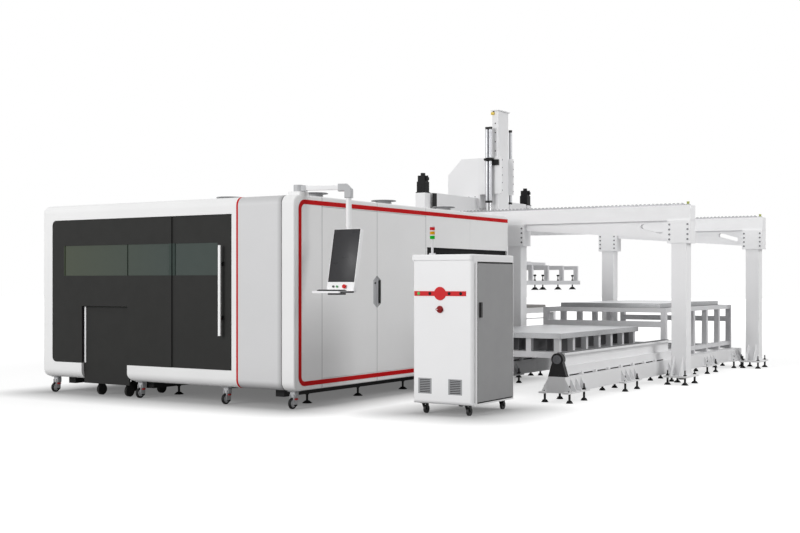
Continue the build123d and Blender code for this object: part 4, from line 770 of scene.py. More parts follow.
paint(bare_metal("pallet_steel", pallet_grey, roughness=0.5), "upper_pallet", "lower_pallet")

# Laser axes: the bridge and the carriage are machined aluminium, and the head is anodised a darker grey.
# They run on the bed's guide rails, and their bearings and drives are out of sight.
axis_grey = (190, 192, 196)
head_grey = (120, 122, 128)
head_lines = (1.0, 1.0, 0.05)
paint(bare_metal("axis_metal", axis_grey, roughness=0.42), "laser_bridge", "laser_carriage")
paint(bare_metal("head_metal", head_grey, roughness=0.35, stretch=head_lines), "laser_head")

# Loader frame: welded box columns and beams, sprayed light grey, bolted through the column heads.
# The racks on the beams are milled steel, and a sprung stop stands at each end of a beam.
loader_grey = (250, 250, 251)
column_x = (-3.220, -0.030, 2.475)
column_y = (5.500, 9.115)
capital_low = 1.933
capital_half_y = 0.118
bolt_rows = 4
bolt_pitch = 0.068
bolt_first = 0.052
bolt_half_x = 0.128
beam_top = 2.452
stop_x = (-3.362, 2.592)
stop_aside = 0.058
stop_half = 0.030
stop_height = 0.014
stop_edge = 0.003
column_base_top = 0.124
column_stud_x = 0.122
column_stud_y = 0.205
loader_paint = sprayed("loader_paint", loader_grey, roughness=0.42, drift=0.04)
paint(loader_paint, "loader_columns", "loader_beams", "exchange_frame")
paint(bare_metal("rack_steel", (128, 128, 130), roughness=0.4), "drive_racks")
bolt_rings = ((0.011, -0.002), (0.014, 0.0), (0.014, 0.007), (0.011, 0.009), (0.008, 0.005))
bolt_places = []
for x in column_x:
    for y in column_y:
        for row in range(bolt_rows):
            z = capital_low + bolt_first + bolt_pitch * row
            for across, out in four_ways(bolt_half_x, capital_half_y):
                turn = Matrix.Rotation(math.copysign(math.radians(90.0), -out), 4, "X")
                bolt_places.append(Matrix.Translation(at(x + across, y + out, z)) @ turn)
bolt = new_turned("capital_bolt", bolt_rings, sides=6)
bolt_steel = bare_metal("bolt_steel", (112, 113, 116), roughness=0.4, stretch=(1.0, 1.0, 1.0))
dress(copies("capital_bolts", bolt, bolt_places), bolt_steel)
stop_places = [at(x, y - stop_aside, beam_top) for x in stop_x for y in column_y]
stop_low = (-stop_half, -stop_half, 0.0)
stop_base = new_block("stop_base", stop_low, (stop_half, stop_half, stop_height), stop_edge)
stop_paint = sprayed("stop_paint", (196, 198, 200), roughness=0.4)
dress(copies("beam_stop_bases", stop_base, stop_places), stop_paint)
stop_rings = ((0.020, 0.012), (0.020, 0.018), (0.015, 0.020), (0.020, 0.026), (0.015, 0.032), (0.020, 0.038),
              (0.022, 0.044), (0.016, 0.050))
stop_spring = new_turned("stop_spring", stop_rings, sides=16)
stop_green = sprayed("stop_green", (176, 182, 96), roughness=0.5)
dress(copies("beam_stops", stop_spring, stop_places), stop_green)
stud_rings = ((0.0095, 0.0), (0.0095, 0.070), (0.008, 0.074))


def new_stud_top():
    """The end of a foot's threaded stud with its lock nut."""
    stud = new_turned("stud", stud_rings, sides=8)
    return joined("stud_top", [stud, new_turned("upper_nut", nut_rings, sides=6)])


column_feet = []
for x in column_x:
    for y in column_y:
        for across, along in four_ways(column_stud_x, column_stud_y):
            column_feet.append(at(x + across, y + along, column_base_top))
dress(copies("column_stud_tops", new_stud_top(), column_feet), base_paint)

# Loader bridge: a moving box beam with rounded ends, sprayed as the frame is. A black servo motor with its
# plug stands on the plinth at each end, and a sheet steel housing covers the lift's drive.
bridge_grey = (240, 240, 241)
motor_black = (28, 28, 29)
bridge_x = -1.670
plinth_top = 2.790
flange_half = 0.084
flange_height = 0.014
flange_edge = 0.004
plug_x = (0.060, 0.100)
plug_half_y = 0.026
plug_z = (0.196, 0.246)
plug_edge = 0.006
gland_out = 0.082
rib_count = 5
rib_first = 0.036
rib_pitch = 0.026
rib_height = 0.010
rib_long = 0.078
rib_short = 0.060
rib_edge = 0.003
bumper_x = (-1.5548, -1.532)
bumper_y = (5.588, 5.700)
bumper_z = (2.540, 2.792)
bumper_edge = 0.006
housing_screw_count = 5
housing_screw_rise = 0.026
to_front = (0.0, -1.0, 0.0)
paint(sprayed("bridge_paint", bridge_grey, roughness=0.42, drift=0.04), "bridge_beam")
paint(sprayed("housing_paint", loader_grey, roughness=0.4), "bridge_hood")
motor_paint = sprayed("motor_paint", motor_black, roughness=0.5, drift=0.1, specular=0.15)
paint(motor_paint, "servo_motors")
flange_low = (-flange_half, -flange_half, 0.0)
flange = new_block("motor_flange", flange_low, (flange_half, flange_half, flange_height), flange_edge)
plug_low = (plug_x[0], -plug_half_y, plug_z[0])
plug = new_block("motor_plug", plug_low, (plug_x[1], plug_half_y, plug_z[1]), plug_edge)
gland_rings = ((0.013, 0.0), (0.013, 0.014), (0.010, 0.016), (0.010, 0.026))
gland = new_turned("motor_gland", gland_rings, (gland_out, 0.0, plug_z[1]), sides=12)
ribs = []
for step in range(rib_count):
    low = rib_first + rib_pitch * step
    high = low + rib_height
    for half_x, half_y in ((rib_long, rib_short), (rib_short, rib_long)):
        ribs.append(new_block("motor_rib", (-half_x, -half_y, low), (half_x, half_y, high), rib_edge))
motor_kit = joined("motor_kit", [flange, plug, gland] + ribs)
motor_places = [at(bridge_x, y, plinth_top) for y in column_y]
dress(copies("motor_fittings", motor_kit, motor_places), motor_paint, "loader_bridge")
bumper_low, bumper_high = [at(*corner) for corner in zip(bumper_x, bumper_y, bumper_z)]
bumper = new_block("bridge_bumper", bumper_low, bumper_high, bumper_edge)
dress(bumper, soft_black, "loader_bridge")
screw_rings = ((0.007, -0.001), (0.009, 0.001), (0.009, 0.004), (0.006, 0.006))
screw = new_turned("housing_screw", screw_rings, along=to_front, sides=10)
housing_low, housing_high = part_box("bridge_hood")
housing_screws = []
for step in range(housing_screw_count):
    x = housing_low[0] + (housing_high[0] - housing_low[0]) * (step + 0.5) / housing_screw_count
    housing_screws.append((x, housing_low[1], housing_low[2] + housing_screw_rise))
dress(copies("housing_screws", screw, housing_screws), bolt_steel, "loader_bridge")

# Lift: an aluminium post that runs between two guide plates, balanced by three gas cylinders whose end caps
# and clamps are black. The front strip has plugged holes, and a yellow limit switch sits under the cap.
lift_white = (248, 248, 249)
cylinder_grey = (178, 179, 182)
band_black = (18, 18, 19)
cylinder_bands = ((2.700, 2.748), (3.400, 3.460), (3.928, 3.980))
lift_x = -1.252
lift_y = 7.320
lift_half_depth = 0.183
lift_face = lift_y - lift_half_depth
plug_count = 4
plug_first = 3.579
plug_pitch = 0.153
plug_sink = 0.012
switch_aside = (0.070, 0.012)
switch_depth = 0.030
switch_z = (4.180, 4.224)
switch_edge = 0.006
plunger_aside = 0.026
pair_aside = 0.064
pair_out = 0.074
clamp_low = 3.412
clamp_high = 3.448
clamp_sides = (((0.0, 0.035), (0.072, 0.006)), ((0.0665, 0.0), (0.0055, 0.030)))
clamp_edge = 0.003
valve_x = (-1.294, -1.162)
valve_z = (3.336, 3.432)
valve_depth = 0.040
valve_edge = 0.012
guide_screw_count = 5
guide_screw_first = 2.920
guide_screw_pitch = 0.125
guide_screw_out = 0.018
paint(sprayed("lift_paint", lift_white, roughness=0.4), "lift_column", "lift_guide")
caps = banded("cylinder_finish", cylinder_grey, band_black, cylinder_bands, roughness=0.36, metal=True)
paint(caps, "balance_cylinders")
paint(bare_metal("rod_chrome", (240, 240, 242), roughness=0.1, stretch=(1.0, 1.0, 0.03)), "cylinder_rods")
plug_rings = ((0.010, 0.0), (0.0105, 0.008), (0.0105, 0.0115), (0.006, 0.0115), (0.005, 0.008))
hole_plug = new_turned("hole_plug", plug_rings, along=to_front, sides=12)
plug_heights = [plug_first + plug_pitch * step for step in range(plug_count)]
plug_places = [at(lift_x, lift_face + plug_sink, z) for z in plug_heights]
dress(copies("lift_hole_plugs", hole_plug, plug_places), soft_black, "lift")
switch_low = at(lift_x - switch_aside[0], lift_face - switch_depth, switch_z[0])
switch_high = at(lift_x - switch_aside[1], lift_face, switch_z[1])
switch_yellow = sprayed("switch_yellow", (236, 206, 84), roughness=0.4)
limit_switch = new_block("lift_limit_switch", switch_low, switch_high, switch_edge, rounds=3)
dress(limit_switch, switch_yellow, "lift")
plunger_rings = ((0.008, 0.0), (0.008, 0.010), (0.010, 0.012), (0.010, 0.019))
plunger_foot = at(lift_x - plunger_aside, lift_face - switch_depth / 2, switch_z[1])
plunger = new_turned("limit_plunger", plunger_rings, plunger_foot, sides=12)
dress(plunger, soft_black, "lift")
guide_low, guide_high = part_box("lift_guide")
guide_face = guide_low[1]
pair_x = at(lift_x - pair_aside, 0.0, 0.0).x
pair_y = guide_face - pair_out
clamp = []
for side in (-1, 1):
    for (aside_x, aside_y), (half_x, half_y) in clamp_sides:
        x = pair_x + side * aside_x
        y = pair_y + side * aside_y
        bar_low = (x - half_x, y - half_y, clamp_low)
        clamp.append(new_block("clamp_bar", bar_low, (x + half_x, y + half_y, clamp_high), clamp_edge))
valve_low = (at(valve_x[0], 0.0, 0.0).x, guide_face - valve_depth, valve_z[0])
valve_high = (at(valve_x[1], 0.0, 0.0).x, guide_face, valve_z[1])
clamp.append(new_block("cylinder_valve", valve_low, valve_high, valve_edge, rounds=3))
dress(joined("cylinder_clamp", clamp), soft_black, "loader_bridge")
guide_screw = new_turned("guide_screw", screw_rings, along=to_right, sides=10)
guide_places = []
for side in (-1, 1):
    y = at(0.0, lift_y + side * (lift_half_depth + guide_screw_out), 0.0).y
    for step in range(guide_screw_count):
        guide_places.append((guide_high[0], y, guide_screw_first + guide_screw_pitch * step))
dress(copies("guide_screws", guide_screw, guide_places), bolt_steel, "loader_bridge")

# Suction frame: welded square tube under the lift, sprayed light grey, with rubber cups below its side bars.
# Each cup hangs on a spindle with a nut, a washer and a black hand knob over the bar.
suction_grey = (224, 224, 226)
cup_black = (24, 24, 24)
cup_bar_top = 1.420
cup_half_x = 0.658
cup_middle_x = -1.200
cup_rows = 6
cup_pitch = 0.6
cup_aside = 0.15
cup_first = lift_y - cup_pitch * 2.5
paint(sprayed("suction_frame_paint", suction_grey, roughness=0.45), "suction_frame")
rubber = sprayed("cup_rubber", cup_black, roughness=0.7, drift=0.1, peel=0.3, specular=0.25)
paint(rubber, "suction_cups")
spindle_rings = (
    (0.020, 0.0), (0.020, 0.006), (0.015, 0.006), (0.015, 0.022), (0.008, 0.024), (0.008, 0.070),
    (0.020, 0.074), (0.024, 0.082), (0.024, 0.094), (0.016, 0.102),
)
spindle = new_turned("cup_spindle", spindle_rings, sides=14)
spindle_places = []
for row in range(cup_rows):
    y = cup_first + cup_pitch * row + (cup_aside if row < cup_rows / 2 else -cup_aside)
    for side in (-1, 1):
        spindle_places.append(at(cup_middle_x + side * cup_half_x, y, cup_bar_top))
dress(copies("cup_spindles", spindle, spindle_places), soft_black, "lift")

# Ground rails: base beams with a flanged rail on a long pad, sprayed light grey. Rubber shows in the pad's
# slots, screwed clips hold the pad down, and a bracket with a guide roller closes each near end.
# The cart and the rack that stand on them are square tube in a slightly darker grey.
line_grey = (246, 246, 247)
stand_grey = (218, 218, 220)
bracket_black = (34, 34, 35)
rail_x = (0.360, 2.080)
rail_start = (2.900, 2.290)
rail_split = 6.040
rail_bracket = 0.070
slot_pitch = 0.420
slot_land = 0.070
slot_half = 0.060
slot_room = 0.004
strip_z = (0.001, 0.015)
strip_edge = 0.003
pad_bottom = 0.300
clip_x = (0.064, 0.098)
clip_half = 0.028
clip_top = 0.034
clip_edge = 0.005
track_half = 0.034
track_height = 0.009
track_room = 0.010
track_edge = 0.002
rail_top = 0.570
roller_z = 0.500
roller_sink = 0.002
rail_foot_top = 0.128
rail_stud_x = 0.156
rail_stud_y = 0.210
rail_stations = ((4.240, 6.010, 7.625, 9.020), (2.500, 4.240, 6.010, 7.625, 9.020))
line_paint = sprayed("line_paint", line_grey, roughness=0.45, drift=0.05)
paint(line_paint, "ground_rails")
paint(sprayed("stand_paint", stand_grey, roughness=0.45, drift=0.05), "low_cart_frame", "tall_rack_frame")
paint(sprayed("bracket_paint", bracket_black, roughness=0.5, drift=0.1, specular=0.3), "rail_end_brackets")
strip_low = (-slot_half, slot_room, strip_z[0])
strip_high = (slot_half, slot_pitch - slot_land - slot_room, strip_z[1])
strip = new_block("slot_rubber", strip_low, strip_high, strip_edge)
clip = new_block("pad_clip", (clip_x[0], -clip_half, 0.0), (clip_x[1], clip_half, clip_top), clip_edge)
clip_screw_rings = ((0.009, 0.0), (0.009, 0.006), (0.006, 0.008))
clip_screw = new_turned("clip_screw", clip_screw_rings, (sum(clip_x) / 2, 0.0, clip_top), sides=6)
clip = joined("pad_clip", [clip, clip_screw])
turned_round = Matrix.Rotation(math.pi, 4, "Z")
strip_places = []
clip_places = []
track_ends = []
roller_places = []
rail_feet = []
for x, start, stations in zip(rail_x, rail_start, rail_stations):
    for step in range(int((rail_split - start - rail_bracket) / slot_pitch)):
        y = start + rail_bracket + slot_pitch * step
        strip_places.append(at(x, y + slot_land, pad_bottom))
        clip_place = Matrix.Translation(at(x, y + slot_land / 2, pad_bottom))
        clip_places.extend((clip_place, clip_place @ turned_round))
    track_low = at(x - track_half, start + rail_bracket + track_room, rail_top)
    track_high = at(x + track_half, rail_split - track_room, rail_top + track_height)
    track_ends.append((track_low, track_high))
    roller_places.append(at(x, start + roller_sink, roller_z))
    for y in stations:
        for across, along in four_ways(rail_stud_x, rail_stud_y):
            rail_feet.append(at(x + across, y + along, rail_foot_top))
dress(copies("slot_rubbers", strip, strip_places), soft_black)
# A dark steel strip lies along each rail's top; its dark tone also stands in for the shade line along the
# rail's top edge.
tracks = [new_block("rail_track", low, high, track_edge) for low, high in track_ends]
track_steel = bare_metal("track_steel", (96, 96, 98), roughness=0.45)
dress(joined("rail_tracks", tracks), track_steel)
dress(copies("pad_clips", clip, clip_places), line_paint)
roller_rings = ((0.030, 0.0), (0.052, 0.004), (0.052, 0.014), (0.040, 0.016), (0.022, 0.016), (0.022, 0.024),
                (0.012, 0.026))
roller = new_turned("bracket_roller", roller_rings, along=to_front, sides=28)
dress(copies("bracket_rollers", roller, roller_places), bolt_steel)
dress(copies("rail_stud_tops", new_stud_top(), rail_feet), base_paint)

# Sheet stacks: rolled steel sheets, bare and bright, lying on the low cart and on the tall rack.
# Their sides carry a painted shade, darker than their tops and darkest at the joints between sheets.
# Thin dark plates stand on edge in the low cart and carry its stack between the posts. Their dark grey is
# painted shade for the cart's shaded inside.
sheet_grey = (214, 215, 217)
sheet_thickness = 0.011
spine_shade_grey = (92, 92, 94)
spine_bottom = 0.5405
spine_top = 0.7035
spine_half = 0.005
spine_edge = 0.002
spine_x = (0.790, 1.170, 1.550)
spine_y = (3.258, 5.340)
spine_span_x = (0.560, 1.780)
spine_span_y = (3.130, 5.470)
# Painted shade on the stacks' sides, darkest at the gaps between sheets.
sheet_metal = bare_metal("sheet_metal", sheet_grey, roughness=0.36, layer=sheet_thickness)
paint(sheet_metal, "low_cart_sheets", "tall_rack_sheets")
spine_spans = [(x - spine_half, x + spine_half, *spine_span_y) for x in spine_x]
spine_spans += [(*spine_span_x, y - spine_half, y + spine_half) for y in spine_y]
spines = []
for left, right, front, back in spine_spans:
    spine_low = at(left, front, spine_bottom)
    spines.append(new_block("cart_spine", spine_low, at(right, back, spine_top), spine_edge))
# Painted shade: the plates' dark grey stands for the shade inside the low cart.
spine_paint = sprayed("spine_paint", spine_shade_grey, roughness=0.55)
dress(joined("cart_spines", spines), spine_paint, "low_cart")

# Source cabinet: a folded steel body with its lid, sprayed white, with a grey door on the right. The latch is
# moulded, the two inlet grilles clip into the front, and a rubber seal lies in the pocket round the door.
cabinet_white = (246, 246, 247)
seal_width = 0.0125
seal_depth = 0.014
seal_thickness = 0.007
seal_radius = 0.040
cabinet_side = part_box("cabinet_door")[1][0]
pocket_front = at(0.0, 0.492, 0.0).y
pocket_back = at(0.0, 1.372, 0.0).y
pocket_low = 0.132
pocket_high = 1.616
grille_left = (1.309, 1.676)
grille_half = 0.0825
grille_bottom = 0.221
grille_face = 0.454
backing_sink = 0.011
backing_half = Vector((0.070, 0.001, 0.074))
backing_edge = 0.0008
paint(sprayed("cabinet_paint", cabinet_white), "cabinet_body")
paint(sprayed("cabinet_door_paint", (152, 152, 153), roughness=0.5, drift=0.05), "cabinet_door")
paint(sprayed("latch_plastic", (22, 22, 23), roughness=0.5), "cabinet_latch")
paint(sprayed("louvre_plastic", (160, 161, 163), roughness=0.5), "cabinet_vents")
paint(sprayed("cabinet_caster", (32, 32, 33), roughness=0.5, specular=0.3), "cabinet_casters")


def pocket_seal(name):
    """A flat rubber frame in the shallow pocket round the door, with its front corners rounded."""
    clear_hands()
    middle_y = (pocket_front + pocket_back) / 2
    middle = (cabinet_side - seal_depth, middle_y, (pocket_low + pocket_high) / 2)
    bpy.ops.mesh.primitive_plane_add(size=1.0, location=middle, rotation=(0.0, math.radians(90.0), 0.0))
    piece = taken_in(name, (pocket_high - pocket_low, pocket_back - pocket_front, 1.0))
    pick(piece, lambda co: co.y < middle_y)
    bpy.ops.mesh.bevel(offset=seal_radius, offset_type="OFFSET", segments=6, affect="VERTICES")
    bpy.ops.mesh.select_all(action="SELECT")
    bpy.ops.mesh.inset(thickness=seal_width, depth=0.0)
    bpy.ops.mesh.delete(type="FACE")
    pick(piece, lambda co: co.y > pocket_back - seal_width * 1.5)
    bpy.ops.mesh.delete(type="ONLY_FACE")
    bpy.ops.mesh.select_all(action="SELECT")
    bpy.ops.mesh.extrude_region_move(TRANSFORM_OT_translate={"value": (seal_thickness, 0.0, 0.0)})
    bpy.ops.mesh.select_all(action="SELECT")
    bpy.ops.mesh.normals_make_consistent(inside=False)
    close_mesh()
    return piece


dress(pocket_seal("cabinet_seal"), soft_black)
grille_places = []
for left in grille_left:
    grille_places.append(at(left + grille_half, grille_face + backing_sink, grille_bottom + grille_half))
backing = new_block("grille_backing", -backing_half, backing_half, backing_edge)
grille_dark = sprayed("grille_dark", (70, 71, 73), roughness=0.7)
dress(copies("grille_backings", backing, grille_places), grille_dark)

# Control band: a red film across the cabinet's front with a plain disc, a green lamp and three dark dots.
# The main switch below it is a moulded rotary grip with a white pointer.
band_red = (214, 50, 54)
switch_red = (140, 10, 14)
lens_share = 0.087
dot_shares = (0.307, 0.682, 0.903)
pointer_half = 0.003
pointer_proud = 0.001
pointer_start = 0.008
pointer_room = 0.006
paint(sprayed("band_film", band_red, roughness=0.5, peel=0.03, specular=0.1), "control_band")
paint(sprayed("switch_plastic", switch_red, roughness=0.4, specular=0.2), "main_switch")
band_low, band_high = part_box("control_band")


def on_band(share):
    """A point on the band's face, at a share of its length from the left."""
    x = band_low[0] + (band_high[0] - band_low[0]) * share
    return Vector((x, band_low[1], (band_low[2] + band_high[2]) / 2))


lens_rings = ((0.017, -0.002), (0.017, 0.002), (0.014, 0.004), (0.012, 0.006), (0.006, 0.008))
lens = new_turned("band_lens", lens_rings, on_band(lens_share), along=to_front)
dress(lens, sprayed("lens_green", (70, 200, 100), roughness=0.25))
dot = new_turned("band_dot", lens_rings, along=to_front)
dot_places = [on_band(share) for share in dot_shares]
dress(copies("band_indicators", dot, dot_places), soft_black)
grip_low, grip_high = [Vector(corner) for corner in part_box("main_switch")]
grip_middle = (grip_low + grip_high) / 2
pointer_low = (grip_low.x + pointer_start, grip_low.y - pointer_proud, grip_middle.z - pointer_half)
pointer_high = (grip_middle.x - pointer_room, grip_low.y + pointer_half, grip_middle.z + pointer_half)
pointer_white = sprayed("pointer_white", (236, 236, 236))
pointer = new_block("switch_pointer", pointer_low, pointer_high, pointer_proud)
dress(pointer, pointer_white, "main_switch")

# Signal tower: a moulded foot and pole on the cabinet's lid, screwed down from inside.
# It carries three ribbed lamp lenses, green below amber below red.
tower_grey = (214, 214, 216)
tower_x = 1.296
tower_y = 0.770
lamp_first = 1.870
lamp_height = 0.034
lamp_spacer = 0.013
lamp_radius = 0.028
lamp_ribs = 5
lamp_groove = 0.002
lamp_colors = (("green", (22, 176, 44)), ("amber", (214, 158, 30)), ("red", (200, 24, 30)))
paint(sprayed("tower_plastic", tower_grey, roughness=0.4), "signal_tower")
lamp_rings = [(lamp_radius - lamp_groove, 0.0)]
for rib in range(lamp_ribs):
    rib_low = lamp_height * rib / lamp_ribs
    rib_top = rib_low + lamp_height / lamp_ribs
    lamp_rings.append((lamp_radius, rib_low + lamp_groove))
    lamp_rings.append((lamp_radius, rib_top - lamp_groove))
    lamp_rings.append((lamp_radius - lamp_groove, rib_top))
for index, (color_name, color) in enumerate(lamp_colors):
    lamp_foot = at(tower_x, tower_y, lamp_first + index * (lamp_height + lamp_spacer))
    lens = new_turned("lamp_" + color_name, lamp_rings, lamp_foot, sides=32)
    dress(lens, sprayed("lamp_" + color_name, color, roughness=0.35, peel=0.03, specular=0.15))
    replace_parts(lens, "signal_lamps")

# Control pendant: a swinging steel arm with grey cast fittings at its hub and elbow, and the white screen
# housing on its drop tube. The screen is dark glass, and the keyboard shelf has a black edge.
arm_white = (244, 244, 245)
fitting_grey = (188, 189, 191)
screen_grey = (60, 60, 62)
key_grey = (58, 58, 60)
arm_root = at(-0.086, 0.194, 0.0)
arm_turn = math.radians(17.0)
arm_length = 0.584
hub_end = 0.0955
elbow_back = 0.1165
elbow_height = 0.158
screen_tilt = math.radians(12.0)
screen_half = Vector((0.173, 0.002, 0.295))
screen_proud = 0.003
shelf_low = 1.284
shelf_high = 1.306
shelf_depth = 0.300
shelf_inset = 0.022
glass_edge = 0.0015
strip_sink = 0.001
strip_proud = 0.003
mount_left = 0.020
mount_right = 0.040
mount_y = (0.070, 0.190)
mount_drop = 0.018
mount_edge = 0.005
board_half_x = 0.150
board_half_y = 0.065
board_height = 0.010
board_out = 0.120
board_edge = 0.004
key_half_x = 0.008
key_half_y = 0.009
key_top = 0.015
key_edge = 0.002
key_rows = 5
key_columns = 14
key_first = Vector((-0.130, -0.046, 0.0))
key_pitch_x = 0.020
key_pitch_y = 0.023


def fitted_arm(name):
    """White tube with grey fittings at both ends, told apart along the arm and by height."""
    material, tree, shader = new_material(name, specular=0.4)
    split = axes(tree)[1]
    along_x = combine(tree, "MULTIPLY", combine(tree, "SUBTRACT", split["X"], arm_root.x), math.cos(arm_turn))
    along_y = combine(tree, "MULTIPLY", combine(tree, "SUBTRACT", split["Y"], arm_root.y), math.sin(arm_turn))
    along = combine(tree, "ADD", along_x, along_y)
    hub = combine(tree, "LESS_THAN", along, hub_end)
    elbow = combine(tree, "GREATER_THAN", along, arm_length - elbow_back)
    elbow_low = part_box("pendant_arm")[1][2] - elbow_height
    elbow = combine(tree, "MULTIPLY", elbow, combine(tree, "GREATER_THAN", split["Z"], elbow_low))
    fittings = combine(tree, "MAXIMUM", hub, elbow)
    color = mixed(tree, fittings, tone(arm_white), tone(fitting_grey))
    coated(tree, shader, color, roughness=0.42, drift=0.03)
    return material


paint(fitted_arm("arm_finish"), "pendant_arm")
paint(sprayed("pendant_paint", cabinet_white), "pendant_housing")
screen_low, screen_high = [Vector(corner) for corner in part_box("screen_pane")]
screen_turn = Matrix.Rotation(-screen_tilt, 4, "X")
screen_middle = (screen_low + screen_high) / 2 + screen_turn @ Vector((0.0, -screen_proud, 0.0))
screen = new_block("screen_glass", -screen_half, screen_half, glass_edge)
screen.data.transform(Matrix.Translation(screen_middle) @ screen_turn)
screen_dark = sprayed("screen_glass", screen_grey, roughness=0.3, drift=0.05, peel=0.02, specular=0.12)
dress(screen, screen_dark, "pendant")
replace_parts(screen, "screen_pane")
shelf_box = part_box("pendant_housing")
shelf_front = shelf_box[0][1]
shelf_right = shelf_box[1][0]
shelf_middle = (shelf_box[0][0] + shelf_right) / 2
edge_low = (shelf_right - strip_sink, shelf_front + shelf_inset, shelf_low + strip_proud)
edge_back = shelf_front + shelf_depth - shelf_inset
edge_high = (shelf_right + strip_proud, edge_back, shelf_high - strip_proud)
shelf_edge = new_block("shelf_edge", edge_low, edge_high, glass_edge)
mount_low = (shelf_middle - mount_left, shelf_front + mount_y[0], shelf_low - mount_drop)
mount_high = (shelf_right - mount_right, shelf_front + mount_y[1], shelf_low)
shelf_mount = new_block("shelf_mount", mount_low, mount_high, mount_edge)
dress(joined("shelf_edge", [shelf_edge, shelf_mount]), soft_black, "pendant")
board_middle = Vector((shelf_middle, shelf_front + board_out, shelf_high))
board_low = board_middle - Vector((board_half_x, board_half_y, 0.0))
board_high = board_middle + Vector((board_half_x, board_half_y, board_height))
dress(new_block("keyboard", board_low, board_high, board_edge), soft_black, "pendant")
key_low = (-key_half_x, -key_half_y, board_height)
key = new_block("key", key_low, (key_half_x, key_half_y, key_top), key_edge, rounds=1)
key_places = []
for row in range(key_rows):
    for column in range(key_columns):
        key_places.append(board_middle + key_first + Vector((key_pitch_x * column, key_pitch_y * row, 0.0)))
key_dark = sprayed("key_dark", key_grey, roughness=0.55)
dress(copies("keyboard_keys", key, key_places), key_dark, "pendant")

# Push buttons: a red mushroom for the emergency stop, and two small caps for start and stop.
# All are moulded plastic, pressed into the pendant's lower edge.
paint(sprayed("stop_mushroom", (206, 24, 24), roughness=0.35, specular=0.15), "estop_button")
paint(sprayed("start_cap", (70, 150, 84), roughness=0.35), "start_button")
paint(sprayed("stop_cap", (40, 40, 41), roughness=0.35), "stop_button")

# Studio: a white floor that keeps the shadows, a white world for the camera, and soft lamps at a plain level.
# The floor's glow is turned down round the enclosure's and the cabinet's footprints, which paints a soft
# shadow there.
# The camera stands where the photograph was taken from.
floor_size = 160.0
floor_drop = 0.001
floor_tone = 0.42
painted_shadow_width = 0.8
painted_shadow_glow_low = 0.15
painted_shadow_glow_high = 0.70
far_start = 7.0
far_end = 22.0
far_glow_high = 0.4
world_light = 0.42
footprints = (
    (at(-3.95, 0.05, 0.0), at(-0.05, 5.10, 0.0)),
    (at(1.24, 0.47, 0.0), at(1.95, 1.40, 0.0)),
)


def by_vector(tree, operation, value, operand=None):
    """A node that works on a whole vector."""
    node = new_node(tree, "ShaderNodeVectorMath", operation=operation)
    tree.links.new(value, node.inputs[0])
    if operand is not None:
        node.inputs[1].default_value = operand
    return node.outputs


def clear_of(tree, place, low, high):
    """How far a point of the floor lies outside a rectangle."""
    steps = (("SUBTRACT", (low + high) / 2), ("ABSOLUTE", None), ("SUBTRACT", (high - low) / 2),
             ("MAXIMUM", Vector((0.0, 0.0, 0.0))))
    for operation, operand in steps:
        place = by_vector(tree, operation, place, operand)["Vector"]
    return by_vector(tree, "LENGTH", place)["Value"]


def seen_by_camera(tree):
    """One where a ray comes from the camera, a mirror or a pane, and nought for scattered light."""
    path = new_node(tree, "ShaderNodeLightPath")
    seen = combine(tree, "MAXIMUM", path.outputs["Is Camera Ray"], path.outputs["Is Glossy Ray"])
    return combine(tree, "MAXIMUM", seen, path.outputs["Is Transmission Ray"])


clear_hands()
bpy.ops.mesh.primitive_plane_add(size=floor_size, location=(0.0, 0.0, -floor_drop))
floor = bpy.context.object
floor.name = "studio_floor"
floor_paint = bpy.data.materials.new("studio_floor")
floor_paint.use_nodes = True
tree = floor_paint.node_tree
tree.nodes.remove(tree.nodes["Principled BSDF"])
matt = new_node(tree, "ShaderNodeBsdfDiffuse")
matt.inputs["Color"].default_value = (floor_tone, floor_tone, floor_tone, 1.0)
place = axes(tree)[0]
gaps = [clear_of(tree, place, low, high) for low, high in footprints]
nearest = combine(tree, "MINIMUM", gaps[0], gaps[1])
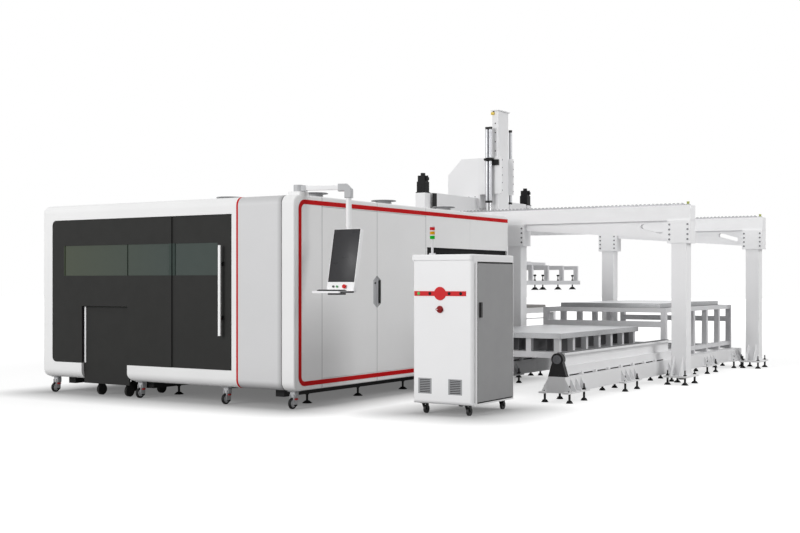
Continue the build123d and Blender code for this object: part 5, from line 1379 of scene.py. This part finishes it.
# Painted shadow: the floor glows less within 0.8 m of the footprints.
painted_shadow_glow = spread(tree, nearest, 0.0, painted_shadow_width, painted_shadow_glow_low, painted_shadow_glow_high)
distance = by_vector(tree, "LENGTH", place)["Value"]
far_glow = spread(tree, distance, far_start, far_end, 0.0, far_glow_high)
glow = combine(tree, "ADD", painted_shadow_glow, far_glow)
lift = new_node(tree, "ShaderNodeEmission")
tree.links.new(combine(tree, "MULTIPLY", seen_by_camera(tree), glow), lift.inputs["Strength"])
both = new_node(tree, "ShaderNodeAddShader")
tree.links.new(matt.outputs["BSDF"], both.inputs[0])
tree.links.new(lift.outputs["Emission"], both.inputs[1])
tree.links.new(both.outputs["Shader"], tree.nodes["Material Output"].inputs["Surface"])
floor.data.materials.append(floor_paint)

world = bpy.data.worlds.new("studio_world")
bpy.context.scene.world = world
world.use_nodes = True
tree = world.node_tree
sky = tree.nodes["Background"]
sky.inputs["Color"].default_value = (1.0, 1.0, 1.0, 1.0)
tree.links.new(spread(tree, seen_by_camera(tree), 0.0, 1.0, world_light, 1.0), sky.inputs["Strength"])


def soft_lamp(name, place, target, size, power):
    """A square lamp with a wide soft face, turned to a target."""
    lamp = bpy.data.lights.new(name, "AREA")
    lamp.shape = "SQUARE"
    lamp.size = size
    lamp.energy = power
    holder = bpy.data.objects.new(name, lamp)
    holder.location = place
    holder.rotation_euler = (target - place).to_track_quat("-Z", "Y").to_euler()
    bpy.context.collection.objects.link(holder)


soft_lamp("front_lamp", at(-6.0, -20.0, 8.5), at(-1.0, 2.5, 1.6), size=10.0, power=2900.0)
soft_lamp("side_lamp", at(13.0, 6.0, 9.0), at(0.5, 5.0, 1.6), size=6.0, power=720.0)
soft_lamp("roof_lamp", at(-1.0, 6.0, 13.0), at(-1.0, 4.0, 0.0), size=8.0, power=250.0)

camera_data = bpy.data.cameras.new("photo_camera")
camera_data.sensor_width = 36.0
camera_data.lens = 52.68
camera_data.shift_y = 0.0186
camera = bpy.data.objects.new("photo_camera", camera_data)
camera.location = at(7.775, -10.191, 1.409)
camera.rotation_euler = (math.radians(90.0), 0.0, math.radians(32.17))
bpy.context.collection.objects.link(camera)
bpy.context.scene.camera = camera
bpy.context.scene.view_settings.view_transform = "Standard"
